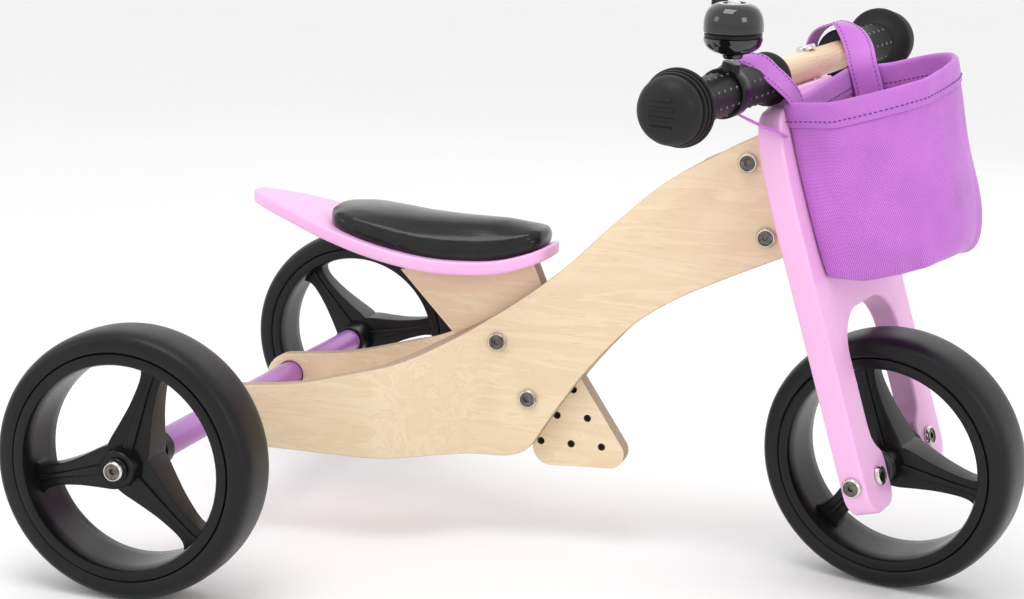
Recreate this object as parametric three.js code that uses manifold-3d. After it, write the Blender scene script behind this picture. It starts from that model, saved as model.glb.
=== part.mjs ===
// Children's tricycle: two bent plywood side panels, a drilled seat plank between them, a curved
// seat board with a cushion, a rear axle with two wheels, and a turning fork with the front wheel,
// the handlebar, a bell and a fabric bag.
// Millimetres, +X forward, +Y to the rider's left, +Z up, ground at z = 0.
import * as THREE from 'three';
import { mergeVertices } from 'three/addons/utils/BufferGeometryUtils.js';
import Module from 'manifold-3d';

const wasm = await Module();
wasm.setup();

// ---- driving dimensions ----
const GAP = 0.3; // between pieces that touch

const WHEEL_R = 100;
const WHEEL_W = 50;
const RIM_R = 84; // seam between rim and tyre
const RIM_BORE_R = 75;
const HUB_R = 16;
const HUB_HALF = 27; // hub's half length
const SPOKES = 3;
const REAR_TRACK_HALF = 240.5; // rear wheel centre to the middle plane
const WHEELBASE = 522;

const AXLE_R = 5;
const AXLE_TUBE_R = 11;
const BOLT_HEAD_R = 7.7;
const BOLT_HEAD_H = 3.4;
const BOLT_R = 3;
const SLEEVE_R = 4.5; // barrel of a sleeve nut

const PANEL_T = 12;
const PANEL_GAP_FRONT = 18; // between the panels where they clamp the plank
const PANEL_GAP_REAR = 114; // between the panels at the rear axle
const BEND_START = 112; // the panels begin to close in, ahead of the rear axle
const BEND_END = 199;
const PANEL_REAR = -22;
const PANEL_BOTTOM = 70;
const PLANK_T = PANEL_GAP_FRONT - 2 * GAP;
const SEAT_BOARD_T = 10.5;

const STEER_TILT = THREE.MathUtils.degToRad(17.5); // the steering axis leans back
const STEER_REST = THREE.MathUtils.degToRad(-16); // the fork stands turned to the right
const WHEEL_LEAD = 22.5; // front wheel's centre ahead of the steering axis
const STEER_FOOT_Z = 93.9; // height of the steering axis beside the front wheel's centre
const FORK_T = 20;
const FORK_HALF = 79;
const BAR_R = 11.3;
const BAR_HALF = 178;
const BAR_FORWARD = 19; // bar's centre ahead of the steering axis
const BAR_UP = 304.6; // bar's centre up the steering axis
const GRIP_R = 15.5;
const GRIP_START_RIGHT = 43; // inner end of the long grip that carries the bell
const GRIP_START_LEFT = 92;
const BELL_AT = -115; // along the bar
const BELL_R = 21;
const PIVOT_R = 4;

// ---- materials ----
const finish = (color, roughness, metalness = 0) =>
  new THREE.MeshStandardMaterial({ color, roughness, metalness });
const birch = () => finish(0xe9d8b8, 0.55);
const pinkPaint = () => finish(0xf6c6ec, 0.45);
const lilacPaint = () => finish(0xb07cc0, 0.4);
const chrome = () => finish(0xd0d0cc, 0.15, 1);
const steel = () => finish(0x9a9c9e, 0.35, 1);
const blackPlastic = () => finish(0x161617, 0.4);
const foamTyre = () => finish(0x202022, 0.6);
const rubber = () => finish(0x222324, 0.7);
const greyPlastic = () => finish(0x4a4b4c, 0.5);
const blackLeather = () => finish(0x121213, 0.25);
const purpleFabric = () => finish(0xb468c8, 0.9);
const blackGloss = () => finish(0x0c0c0d, 0.12);

// ---- geometry helpers ----
const vec2 = (points) => points.map(([x, y]) => new THREE.Vector2(x, y));

// One closed manifold solid from a geometry, with its faces turned outwards.
function solid(geometry) {
  const bare = geometry.clone();
  bare.deleteAttribute('normal');
  bare.deleteAttribute('uv');
  const merged = mergeVertices(bare, 1e-4);
  const position = merged.getAttribute('position');
  const index = Array.from(merged.index.array);
  const [a, b, c] = [new THREE.Vector3(), new THREE.Vector3(), new THREE.Vector3()];
  const triangles = [];
  let volume = 0;
  for (let i = 0; i < index.length; i += 3) {
    const [p, q, r] = index.slice(i, i + 3);
    if (p === q || q === r || r === p) continue;
    triangles.push(p, q, r);
    a.fromBufferAttribute(position, p);
    b.fromBufferAttribute(position, q);
    c.fromBufferAttribute(position, r);
    volume += a.dot(b.cross(c));
  }
  if (volume < 0) triangles.reverse();
  return new wasm.Manifold(new wasm.Mesh({
    numProp: 3,
    vertProperties: new Float32Array(position.array),
    triVerts: new Uint32Array(triangles),
  }));
}

const join = (...parts) => parts.reduce((whole, part) => whole.add(part));
const cut = (body, ...tools) => tools.reduce((rest, tool) => rest.subtract(tool), body);

function toGeometry(manifold) {
  const mesh = manifold.getMesh();
  const stride = mesh.numProp;
  const points = [];
  for (let i = 0; i < mesh.vertProperties.length; i += stride) {
    points.push(...mesh.vertProperties.slice(i, i + 3));
  }
  const geometry = new THREE.BufferGeometry();
  geometry.setAttribute('position', new THREE.Float32BufferAttribute(points, 3));
  geometry.setIndex(Array.from(mesh.triVerts));
  const flat = geometry.toNonIndexed();
  flat.computeVertexNormals();
  return flat;
}

// A profile of [radius, height] points turned about +Y.
const turnedY = (profile, segments = 20) => solid(new THREE.LatheGeometry(vec2(profile), segments));

// The same, about +Z.
function turnedZ(profile, segments = 20) {
  const geometry = new THREE.LatheGeometry(vec2(profile), segments);
  geometry.rotateX(Math.PI / 2);
  return solid(geometry);
}

const rodProfile = (radius, low, high) => [[0, low], [radius, low], [radius, high], [0, high]];
const ringProfile = (inner, outer, low, high) =>
  [[inner, low], [outer, low], [outer, high], [inner, high], [inner, low]];
const rodY = (radius, low, high, segments = 16) => turnedY(rodProfile(radius, low, high), segments);
const rodZ = (radius, low, high, segments = 16) => turnedZ(rodProfile(radius, low, high), segments);

// A flat shape drawn in X and Z, given its thickness along Y.
function slabXZ(shape, yLow, yHigh, curveSegments = 10) {
  const geometry = new THREE.ExtrudeGeometry(shape, {
    depth: yHigh - yLow, bevelEnabled: false, curveSegments,
  });
  geometry.rotateX(Math.PI / 2);
  geometry.translate(0, yHigh, 0);
  return solid(geometry);
}

// A flat shape drawn in X and Y, raised along Z.
function slabXY(shape, zLow, zHigh, curveSegments = 10) {
  const geometry = new THREE.ExtrudeGeometry(shape, {
    depth: zHigh - zLow, bevelEnabled: false, curveSegments,
  });
  geometry.translate(0, 0, zLow);
  return solid(geometry);
}

// A flat shape drawn in Y and Z, given its thickness along X.
function slabYZ(shape, xLow, xHigh, curveSegments = 10) {
  const geometry = new THREE.ExtrudeGeometry(shape, {
    depth: xHigh - xLow, bevelEnabled: false, curveSegments,
  });
  geometry.applyMatrix4(new THREE.Matrix4().makeBasis(
    new THREE.Vector3(0, 1, 0), new THREE.Vector3(0, 0, 1), new THREE.Vector3(1, 0, 0)));
  geometry.translate(xLow, 0, 0);
  return solid(geometry);
}

// A mirrored copy across the middle plane, wound the right way again.
function mirroredY(manifold) {
  return manifold.mirror([0, 1, 0]);
}

const trike = new THREE.Group();

function addMesh(group, name, manifold, material, place) {
  const mesh = new THREE.Mesh(toGeometry(manifold), material);
  mesh.name = name;
  if (place) mesh.position.set(...place);
  group.add(mesh);
  return mesh;
}

// ---- frame: side panels ----
// Half of the space between the panels at a distance ahead of the rear axle.
function panelInnerY(x) {
  const t = THREE.MathUtils.clamp((x - BEND_START) / (BEND_END - BEND_START), 0, 1);
  const ease = 0.5 - 0.5 * Math.cos(Math.PI * t);
  return THREE.MathUtils.lerp(PANEL_GAP_REAR / 2, PANEL_GAP_FRONT / 2, ease);
}

// Steering axis in the middle plane at rest: its x at a height.
const steerFootX = WHEELBASE - WHEEL_LEAD * Math.cos(STEER_TILT);
const steerAxisX = (z) => steerFootX - (z - STEER_FOOT_Z) * Math.tan(STEER_TILT);

// Side view of a panel, ending a set distance behind the steering axis.
function panelOutline(behindAxis) {
  const setBack = behindAxis / Math.cos(STEER_TILT);
  const top = [[BEND_START - 56, 125], [BEND_START - 11, 137], [142, 150], [191, 176], [225, 199],
    [262, 229], [300, 267], [338, 301], [379, 326], [steerAxisX(345) - setBack, 345]];
  const under = [[430, 249.5], [384, 228], [346, 208], [315, 185], [283, 149], [254, 109]];
  const corner = 22;
  const shape = new THREE.Shape();
  shape.moveTo(PANEL_REAR + corner, 118);
  shape.splineThru(vec2(top));
  shape.lineTo(steerAxisX(256) - setBack, 256);
  shape.splineThru(vec2(under));
  shape.quadraticCurveTo(238, PANEL_BOTTOM + 2, 196, PANEL_BOTTOM);
  shape.lineTo(PANEL_REAR + corner, PANEL_BOTTOM);
  shape.absarc(PANEL_REAR + corner, PANEL_BOTTOM + corner, corner, -Math.PI / 2, -Math.PI, true);
  shape.absarc(PANEL_REAR + corner, 118 - corner, corner, Math.PI, Math.PI / 2, true);
  return shape;
}

// Plan view of a panel's curved board, on the left.
function panelPlan() {
  const steps = 12;
  const middle = [[PANEL_REAR - 10, PANEL_GAP_REAR / 2 + PANEL_T / 2]];
  for (let i = 0; i <= steps; i += 1) {
    const x = THREE.MathUtils.lerp(BEND_START, BEND_END, i / steps);
    middle.push([x, panelInnerY(x) + PANEL_T / 2]);
  }
  middle.push([WHEELBASE, PANEL_GAP_FRONT / 2 + PANEL_T / 2]);
  const side = (offset) => middle.map(([x, y]) => {
    const slope = (panelInnerY(x + 0.5) - panelInnerY(x - 0.5));
    const length = Math.hypot(1, slope);
    return [x - (slope / length) * offset, y + offset / length];
  });
  return new THREE.Shape(vec2([...side(PANEL_T / 2), ...side(-PANEL_T / 2).reverse()]));
}

// Bolts through both panels: two through the head block, two through the seat plank.
const panelBolts = { head_upper: [400, 320], head_lower: [417, 264], plank_upper: [208, 164],
  plank_lower: [235, 120] };
const boltHoles = (radius) => Object.values(panelBolts).map(([x, z]) =>
  rodY(radius, -40, 40, 12).translate([x, 0, z]));

const axleHole = rodY(AXLE_TUBE_R + GAP, -90, 90, 24).translate([0, 0, WHEEL_R]);
const panelLeft = cut(
  slabXZ(panelOutline(6), 0, 90, 6).intersect(slabXY(panelPlan(), 40, 360)),
  axleHole, ...boltHoles(SLEEVE_R + GAP));
addMesh(trike, 'side_panel_left', panelLeft, birch());
addMesh(trike, 'side_panel_right', mirroredY(panelLeft), birch());

// Pieces on the steering axis are drawn with X ahead of it and Z up along it, then laid on it.
const layOnAxis = (manifold) => manifold
  .rotate([0, -THREE.MathUtils.radToDeg(STEER_TILT), 0])
  .translate([steerFootX, 0, STEER_FOOT_Z]);

// ---- frame: head block, with a round nose that the steering pin passes through ----
const HEAD_LOW = 166;
const HEAD_HIGH = 264;
const halfPlank = PLANK_T / 2;
const headRegion = layOnAxis(slabXZ(new THREE.Shape(vec2(
  [[-62, HEAD_LOW - 60], [0, HEAD_LOW - 60], [0, HEAD_HIGH], [-62, HEAD_HIGH]])), -20, 20));
const headBody = slabXZ(panelOutline(-20), -halfPlank, halfPlank, 6).intersect(headRegion);
const headNose = layOnAxis(rodZ(halfPlank, HEAD_LOW, HEAD_HIGH, 20));
const pinBore = layOnAxis(rodZ(PIVOT_R + GAP, HEAD_LOW - 20, HEAD_HIGH + 30, 12));
addMesh(trike, 'head_block', cut(headBody.add(headNose), pinBore, ...boltHoles(SLEEVE_R + GAP)), birch());

// ---- frame: seat board, seat plank and cushion ----
const SEAT_REAR = -8;
const SEAT_FRONT = 248;
const seatTopLine = new THREE.SplineCurve(vec2([[SEAT_REAR - 4, 270], [33, 260], [73, 248.5], [113, 237.5],
  [150, 230.8], [180, 229.3], [208, 231], [232, 237.5], [SEAT_FRONT + 4, 246]]));
const seatLine = seatTopLine.getPoints(20);

// Side view between two copies of the seat's curve.
function seatProfile(low, high) {
  const upper = seatLine.map((p) => [p.x, p.y + high]);
  const lower = seatLine.map((p) => [p.x, p.y + low]).reverse();
  return new THREE.Shape(vec2([...upper, ...lower]));
}

// Plan view of the seat: a broad tail that narrows to the front, pulled in by an inset.
function seatPlan(rear, front, inset) {
  const half = [[rear + 2, 10], [13, 25.5], [33, 36.5], [53, 45], [73, 50], [93, 52.5], [113, 52.5],
    [140, 51], [173, 46], [205, 39], [230, 32], [front - 3, 20]];
  const kept = half.filter(([x]) => x >= rear + 2 && x <= front - 3);
  if (kept[0][0] > rear + 12) kept.unshift([rear + 2, 26 + inset]);
  const edge = kept.map(([x, y]) => [x, y - inset]);
  const shape = new THREE.Shape();
  shape.moveTo(rear, 0);
  shape.splineThru(vec2([...edge, [front, 8 - inset / 4], [front, -8 + inset / 4]]));
  shape.splineThru(vec2([...edge.map(([x, y]) => [x, -y]).reverse(), [rear, 0]]));
  return shape;
}

const seatBoard = slabXZ(seatProfile(-SEAT_BOARD_T, 0), -70, 70)
  .intersect(slabXY(seatPlan(SEAT_REAR, SEAT_FRONT, 0), 150, 350, 3));
addMesh(trike, 'seat_board', seatBoard, pinkPaint());

const CUSHION_REAR = 63;
const CUSHION_FRONT = 243;
function cushionProfile() {
  const lower = seatLine.map((p) => [p.x, p.y + GAP]).reverse();
  const upper = [[SEAT_REAR - 4, 272], [CUSHION_REAR, 257], [CUSHION_REAR + 9, 261], [105, 260], [140, 257],
    [170, 256], [205, 256], [235, 256.5], [CUSHION_FRONT, 252], [SEAT_FRONT + 4, 247]];
  return new THREE.Shape(vec2([...upper, ...lower]));
}
const cushion = slabXZ(cushionProfile(), -70, 70)
  .intersect(slabXY(seatPlan(CUSHION_REAR, CUSHION_FRONT, 5), 150, 350, 3));
addMesh(trike, 'seat_cushion', cushion, blackLeather());

// The plank stands between the panels, carries the seat and ends below in a drilled triangle.
const FOOT_CORNER = 12;
const plankShape = new THREE.Shape();
plankShape.moveTo(121, 213);
plankShape.lineTo(233, 97);
plankShape.lineTo(237, 82);
plankShape.absarc(248 + 4, 67 + FOOT_CORNER, FOOT_CORNER, Math.PI, Math.PI * 1.5, false);
plankShape.lineTo(296, 66.5);
plankShape.absarc(300, 66.5 + FOOT_CORNER, FOOT_CORNER, -Math.PI / 2, Math.PI / 6, false);
plankShape.lineTo(274, 138);
plankShape.quadraticCurveTo(254, 176, 239, 211);
plankShape.lineTo(233, 240);
plankShape.lineTo(121, 240);
plankShape.closePath();
const HOLE_PITCH = 25;
const footHoles = [];
for (let row = 0; row < 3; row += 1) {
  for (let n = 0; n <= row; n += 1) {
    footHoles.push(rodY(3.1, -20, 20, 10)
      .translate([268.5 + (n - row / 2) * HOLE_PITCH, 0, 128 - row * 22.3]));
  }
}
const belowSeat = slabXZ(seatProfile(-200, -SEAT_BOARD_T - GAP), -70, 70);
addMesh(trike, 'seat_plank', cut(slabXZ(plankShape, -halfPlank, halfPlank, 6).intersect(belowSeat),
  ...footHoles, ...boltHoles(SLEEVE_R + GAP)), birch());

// ---- frame: panel bolts, each screwed into a sleeve nut from the other side ----
const panelFace = PANEL_GAP_FRONT / 2 + PANEL_T + GAP;
const SOCKET_R = 2.2;
// Profile of a domed head with a socket, standing on a face.
const headProfile = (face) => [[BOLT_HEAD_R, face], [BOLT_HEAD_R, face + 1.6],
  [BOLT_HEAD_R - 1.4, face + BOLT_HEAD_H], [SOCKET_R, face + BOLT_HEAD_H], [SOCKET_R, face + 1.8],
  [0, face + 1.8]];
const screwProfile = (face, low) => [[0, low], [BOLT_R, low], [BOLT_R, face], ...headProfile(face)];
const screwY = (face, low) => turnedY(screwProfile(face, low), 12);
const SLEEVE_END = -3;
const SLEEVE_FLOOR = 12;
const sleeveProfile = [[BOLT_R + GAP, SLEEVE_END], [SLEEVE_R, SLEEVE_END], [SLEEVE_R, panelFace],
  ...headProfile(panelFace), [0, SLEEVE_FLOOR], [BOLT_R + GAP, SLEEVE_FLOOR], [BOLT_R + GAP, SLEEVE_END]];
for (const [name, [x, z]] of Object.entries(panelBolts)) {
  addMesh(trike, `${name}_bolt`, mirroredY(screwY(panelFace, -8)), chrome(), [x, 0, z]);
  addMesh(trike, `${name}_sleeve_nut`, turnedY(sleeveProfile, 12), chrome(), [x, 0, z]);
}

// ---- rear axle ----
const HUB_IN = REAR_TRACK_HALF - HUB_HALF;
const HUB_OUT = REAR_TRACK_HALF + HUB_HALF;
const COLLAR_L = 13;
const axleCentre = [0, 0, WHEEL_R];
const axleTube = turnedY(ringProfile(AXLE_R + GAP, AXLE_TUBE_R, -HUB_IN + COLLAR_L + 2 * GAP,
  HUB_IN - COLLAR_L - 2 * GAP), 24);
addMesh(trike, 'axle_tube', axleTube, lilacPaint(), axleCentre);
const threadBore = rodY(BOLT_R + GAP, HUB_OUT - 24, HUB_OUT + 10, 12);
addMesh(trike, 'rear_axle', cut(rodY(AXLE_R, -HUB_OUT, HUB_OUT, 16), threadBore, mirroredY(threadBore)),
  steel(), axleCentre);
for (const [side, sign] of [['left', 1], ['right', -1]]) {
  const facing = (manifold) => (sign > 0 ? manifold : mirroredY(manifold));
  addMesh(trike, `axle_collar_${side}`, facing(turnedY(ringProfile(AXLE_R + GAP, 14,
    HUB_IN - COLLAR_L - GAP, HUB_IN - GAP), 20)), blackPlastic(), axleCentre);
  addMesh(trike, `hub_washer_${side}`, facing(turnedY(ringProfile(BOLT_R + GAP, 9,
    HUB_OUT + GAP, HUB_OUT + 3), 16)), blackPlastic(), axleCentre);
  addMesh(trike, `rear_wheel_bolt_${side}`, facing(screwY(HUB_OUT + 3 + GAP, HUB_OUT - 20)),
    chrome(), axleCentre);
}

// ---- wheels, turned about +Y through their own centre ----
const BUSH_R = 8;
const BUSH_L = 12;
const halfWidth = WHEEL_W / 2;
const hubBore = join(rodY(AXLE_R + 1, -40, 40), rodY(BUSH_R + GAP, -40, -HUB_HALF + BUSH_L),
  rodY(BUSH_R + GAP, HUB_HALF - BUSH_L, 40));
function spoke(angle) {
  const shape = new THREE.Shape(vec2([[0, -15], [HUB_R, -14], [44, -8.5], [64, -9.5], [79, -17], [79, 17],
    [64, 9.5], [44, 8.5], [HUB_R, 14], [0, 15]]));
  return slabXZ(shape, -10, 10).rotate([0, -angle, 0]);
}
function rim(firstAngle) {
  const seam = RIM_R - 0.15;
  const barrel = turnedY([[RIM_BORE_R, -halfWidth], [seam - 1, -halfWidth], [seam, -halfWidth + 1],
    [seam, halfWidth - 1], [seam - 1, halfWidth], [RIM_BORE_R, halfWidth], [RIM_BORE_R, -halfWidth]], 36);
  const hub = turnedY([[0, -HUB_HALF], [13, -HUB_HALF], [14, -16], [HUB_R, -10], [HUB_R, 10], [14, 16],
    [13, HUB_HALF], [0, HUB_HALF]], 20);
  const spokes = Array.from({ length: SPOKES }, (_, i) => spoke(firstAngle + (i * 360) / SPOKES));
  return cut(join(barrel, hub, ...spokes), hubBore);
}
function tyre() {
  const side = [[RIM_R + 0.15, 25], [92, 25], [97.5, 20.5], [100, 8]];
  const profile = [...side, ...side.map(([r, y]) => [r, -y]).reverse(), side[0]];
  return turnedY(profile.map(([r, y]) => [r, -y]), 40);
}
function addWheel(group, name, centre, firstAngle) {
  addMesh(group, `${name}_rim`, rim(firstAngle), blackPlastic(), centre);
  addMesh(group, `${name}_tyre`, tyre(), foamTyre(), centre);
  const bush = turnedY(ringProfile(AXLE_R + GAP, BUSH_R, HUB_HALF - BUSH_L + GAP, HUB_HALF), 16);
  addMesh(group, `${name}_bush_left`, bush, steel(), centre);
  addMesh(group, `${name}_bush_right`, mirroredY(bush), steel(), centre);
}
addWheel(trike, 'rear_wheel_left', [0, REAR_TRACK_HALF, WHEEL_R], 132);
addWheel(trike, 'rear_wheel_right', [0, -REAR_TRACK_HALF, WHEEL_R], 75);

// ---- steered group: X ahead of the steering axis, Y to its left, Z up along it ----
const steered = new THREE.Group();
steered.position.set(steerFootX, 0, STEER_FOOT_Z);
steered.rotation.set(0, -STEER_TILT, STEER_REST, 'YXZ');
trike.add(steered);

const LEG_IN_LOW = 33.5; // inner face of a leg where it holds the axle
const LEG_IN = 47.5;
const ARCH_TOP = 122.5;
const ARCH_CORNER = 32;
const forkBack = WHEEL_LEAD - FORK_T / 2;
const forkFront = WHEEL_LEAD + FORK_T / 2;
const forkShape = new THREE.Shape();
forkShape.moveTo(39.5, BAR_UP - BAR_R - GAP);
forkShape.quadraticCurveTo(40.5, 283.5, 48, 283);
forkShape.quadraticCurveTo(60, 282, 66, 274);
forkShape.quadraticCurveTo(78, 252, FORK_HALF, 206);
forkShape.lineTo(FORK_HALF, -6);
forkShape.absarc(FORK_HALF - 20, -6, 20, 0, -Math.PI / 2, true);
forkShape.lineTo(LEG_IN_LOW + 12, -26);
forkShape.absarc(LEG_IN_LOW + 12, -14, 12, -Math.PI / 2, -Math.PI, true);
forkShape.lineTo(LEG_IN_LOW, 9);
forkShape.bezierCurveTo(LEG_IN_LOW + 1, 20, LEG_IN - 2, 21, LEG_IN, 38);
forkShape.lineTo(LEG_IN, ARCH_TOP - ARCH_CORNER);
forkShape.absarc(LEG_IN - ARCH_CORNER, ARCH_TOP - ARCH_CORNER, ARCH_CORNER, 0, Math.PI / 2, false);
forkShape.lineTo(0, ARCH_TOP);
forkShape.lineTo(0, BAR_UP - BAR_R - GAP);
forkShape.closePath();
const forkHalf = slabYZ(forkShape, forkBack, forkFront, 8);
const BAR_BOLT_AT = 34;
const barBoltHole = rodZ(BOLT_R + GAP, 240, 330, 12);
const barBoltHoles = [1, -1].map((s) => barBoltHole.translate([BAR_FORWARD, s * BAR_BOLT_AT, 0]));
const axleBore = rodY(AXLE_R + GAP, -100, 100, 16).translate([WHEEL_LEAD, 0, 0]);
// Cross screws come in from the front of each leg and lock the axle.
const LOCK_SCREW_AT = 52.5;
const LOCK_SCREW_UP = -10; // just under the axle
const rodAlongX = (manifold) => manifold.rotate([0, 90, 0]);
const lockHole = rodAlongX(rodZ(BOLT_R + GAP, WHEEL_LEAD + AXLE_R, 60, 12));
const lockHoles = [1, -1].map((s) => lockHole.translate([0, s * LOCK_SCREW_AT, LOCK_SCREW_UP]));
addMesh(steered, 'fork_board', cut(forkHalf.add(mirroredY(forkHalf)), ...barBoltHoles, axleBore, ...lockHoles),
  pinkPaint());

// Lugs behind the fork hold the steering pin above and below the head block.
const LUG_T = 14;
const lugShape = new THREE.Shape();
lugShape.moveTo(forkBack - GAP, -14);
lugShape.lineTo(forkBack - GAP, 14);
lugShape.lineTo(2, 9.5);
lugShape.absarc(0, 0, 9.5, Math.PI / 2, Math.PI * 1.5, false);
lugShape.lineTo(2, -9.5);
lugShape.closePath();
const pivotBore = rodZ(PIVOT_R + GAP, 100, 320, 12);
const LUG_PLAY = 0.6; // between a lug and the head block
const LOWER_LUG = HEAD_LOW - LUG_PLAY - LUG_T;
const UPPER_LUG = HEAD_HIGH + LUG_PLAY;
addMesh(steered, 'steering_lug_lower', cut(slabXY(lugShape, LOWER_LUG, LOWER_LUG + LUG_T, 8), pivotBore),
  pinkPaint());
addMesh(steered, 'steering_lug_upper', cut(slabXY(lugShape, UPPER_LUG, UPPER_LUG + LUG_T, 8), pivotBore),
  pinkPaint());
const pinTop = UPPER_LUG + LUG_T + GAP;
addMesh(steered, 'steering_pin', turnedZ([[0, LOWER_LUG - 8], [PIVOT_R, LOWER_LUG - 8], [PIVOT_R, pinTop],
  [7, pinTop], [7, pinTop + 4], [5, pinTop + 5], [0, pinTop + 5]], 16), steel());
addMesh(steered, 'steering_pin_nut', turnedZ(ringProfile(PIVOT_R + GAP, 7, LOWER_LUG - 6,
  LOWER_LUG - GAP), 12), steel());

// ---- front wheel and its axle ----
const frontCentre = [WHEEL_LEAD, 0, 0];
addWheel(steered, 'front_wheel', frontCentre, 92);
const legBore = rodY(BOLT_R + GAP, FORK_HALF - 20, FORK_HALF + 5, 12);
addMesh(steered, 'front_axle', cut(rodY(AXLE_R, -FORK_HALF + 1, FORK_HALF - 1, 16), legBore,
  mirroredY(legBore)), steel(), frontCentre);
for (const [side, sign] of [['left', 1], ['right', -1]]) {
  const facing = (manifold) => (sign > 0 ? manifold : mirroredY(manifold));
  addMesh(steered, `front_spacer_${side}`, facing(turnedY(ringProfile(AXLE_R + GAP, 13, HUB_HALF + GAP,
    LEG_IN_LOW - GAP), 20)), greyPlastic(), frontCentre);
  addMesh(steered, `front_axle_bolt_${side}`, facing(screwY(FORK_HALF + GAP, FORK_HALF - 16)), chrome(),
    frontCentre);
  const lockScrew = rodAlongX(screwY(forkFront + GAP, WHEEL_LEAD + AXLE_R + GAP).rotate([90, 0, 0]));
  addMesh(steered, `axle_lock_screw_${side}`, lockScrew, chrome(),
    [0, sign * LOCK_SCREW_AT, LOCK_SCREW_UP]);
}

// ---- handlebar ----
const barPlace = [BAR_FORWARD, 0, BAR_UP];
addMesh(steered, 'handlebar', cut(rodY(BAR_R, -BAR_HALF, BAR_HALF, 20),
  ...[1, -1].map((s) => rodZ(BOLT_R + GAP, -20, 20, 12).translate([0, s * BAR_BOLT_AT, 0]))), birch(), barPlace);
for (const [side, sign] of [['left', 1], ['right', -1]]) {
  const bolt = turnedZ(screwProfile(BAR_R + GAP, -50), 12);
  addMesh(steered, `handlebar_bolt_${side}`, bolt, chrome(),
    [BAR_FORWARD, sign * BAR_BOLT_AT, BAR_UP]);
}
const boreR = BAR_R + GAP;
// Tube from a collar at its inner end to a flange and a stepped, domed cap at its outer end.
const gripProfile = (inner, flange) => [[boreR, inner], [19, inner], [20, inner + 2], [20, inner + 5],
  [GRIP_R, inner + 12], [GRIP_R, flange - 5], [27, flange - 2], [28.5, flange], [28.5, flange + 2.5],
  [26.5, flange + 6], [25.5, flange + 12], [24, flange + 19], [18, flange + 28], [8, flange + 31.5],
  [0, flange + 32], [0, BAR_HALF + GAP], [boreR, BAR_HALF + GAP], [boreR, inner]];
const GRIP_FLANGE = 179;
addMesh(steered, 'grip_left', turnedY(gripProfile(GRIP_START_LEFT, GRIP_FLANGE - 5), 24), rubber(), barPlace);
addMesh(steered, 'grip_right', mirroredY(turnedY(gripProfile(GRIP_START_RIGHT, GRIP_FLANGE + 3), 24)),
  rubber(), barPlace);

// ---- bell on the right-hand grip ----
const BELL_LEAN = 30; // where the clamp's boss stands, forward of straight up
const bellClamp = cut(join(rodY(GRIP_R + GAP + 2.2, -7, 7, 24), rodZ(6.5, 0, 22, 16).rotate([0, BELL_LEAN, 0])),
  rodY(GRIP_R + GAP, -20, 20, 24));
addMesh(steered, 'bell_clamp', bellClamp, blackPlastic(), [BAR_FORWARD, BELL_AT, BAR_UP]);
const bell = new THREE.Group();
const leanAngle = THREE.MathUtils.degToRad(BELL_LEAN);
bell.position.set(BAR_FORWARD + 24.5 * Math.sin(leanAngle), BELL_AT, BAR_UP + 24.5 * Math.cos(leanAngle));
bell.rotation.set(0, STEER_TILT, 0);
steered.add(bell);
const POST_R = 2.5;
addMesh(bell, 'bell_base', turnedZ([[0, 0.8], [7, 0.8], [8, 6], [13, 7.5], [19, 12], [BELL_R, 16],
  [POST_R + 3, 16], [POST_R + 3, 18], [POST_R, 18], [POST_R, 36], [0, 36]], 24), blackGloss());
const domeCurve = [[BELL_R, 20.2], [BELL_R, 33], [19.5, 38.5], [15.5, 42], [9, 43], [7, 41.5], [POST_R + GAP, 41.5]];
const domeInner = [[POST_R + GAP, 39.5], [14.5, 39.5], [17.5, 36.5], [19, 32], [19, 20.2], [BELL_R, 20.2]];
addMesh(bell, 'bell_dome', turnedZ([...domeCurve, ...domeInner], 24), blackGloss());
addMesh(bell, 'bell_screw', turnedZ([[0, 36.3], [POST_R - 0.2, 36.3], [POST_R - 0.2, 41.8], [5, 41.8],
  [4.4, 43.4], [0, 43.6]], 16), chrome());
const leverShape = new THREE.Shape(vec2([[6, -6], [24.5, -6], [24.5, 6], [6, 6]]));
const leverDisc = turnedZ(ringProfile(POST_R + 3 + GAP, 14, 16.4, 17.8), 20);
const leverArm = slabXY(leverShape, 16.4, 17.8);
const leverPad = slabXY(new THREE.Shape(vec2([[BELL_R + 1.4, -6], [BELL_R + 3.5, -6], [BELL_R + 3.5, 6],
  [BELL_R + 1.4, 6]])), 16.4, 36);
const lever = cut(join(leverDisc, leverArm, leverPad), rodZ(POST_R + 3 + GAP, 10, 25, 20)).rotate([0, 0, 180]);
addMesh(bell, 'bell_lever', lever, blackPlastic());

// ---- fabric bag with two strap loops round the grips ----
const BAG_BACK = forkFront + 0.8;
const BAG_FRONT = 132;
const BAG_HALF = 67;
const BAG_LOW = 151;
const BAG_HIGH = 281;
function bagShape(inset) {
  const depth = BAG_FRONT - BAG_BACK;
  const shape = new THREE.Shape();
  const half = BAG_HALF - inset;
  shape.moveTo(BAG_BACK + inset, -half);
  shape.lineTo(BAG_BACK + depth * 0.35, -half);
  shape.bezierCurveTo(BAG_BACK + depth * 0.85, -half, BAG_FRONT - inset, -half * 0.55, BAG_FRONT - inset, 0);
  shape.bezierCurveTo(BAG_FRONT - inset, half * 0.55, BAG_BACK + depth * 0.85, half, BAG_BACK + depth * 0.35, half);
  shape.lineTo(BAG_BACK + inset, half);
  shape.closePath();
  return shape;
}
const bag = cut(slabXY(bagShape(0), BAG_LOW, BAG_HIGH, 8), slabXY(bagShape(2.5), BAG_LOW + 3, BAG_HIGH + 20, 8));
addMesh(steered, 'bag', bag, purpleFabric());
const STRAP_RIGHT_AT = -88;
const STRAP_LEFT_AT = 94;
const STRAP_W = 22;
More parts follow.
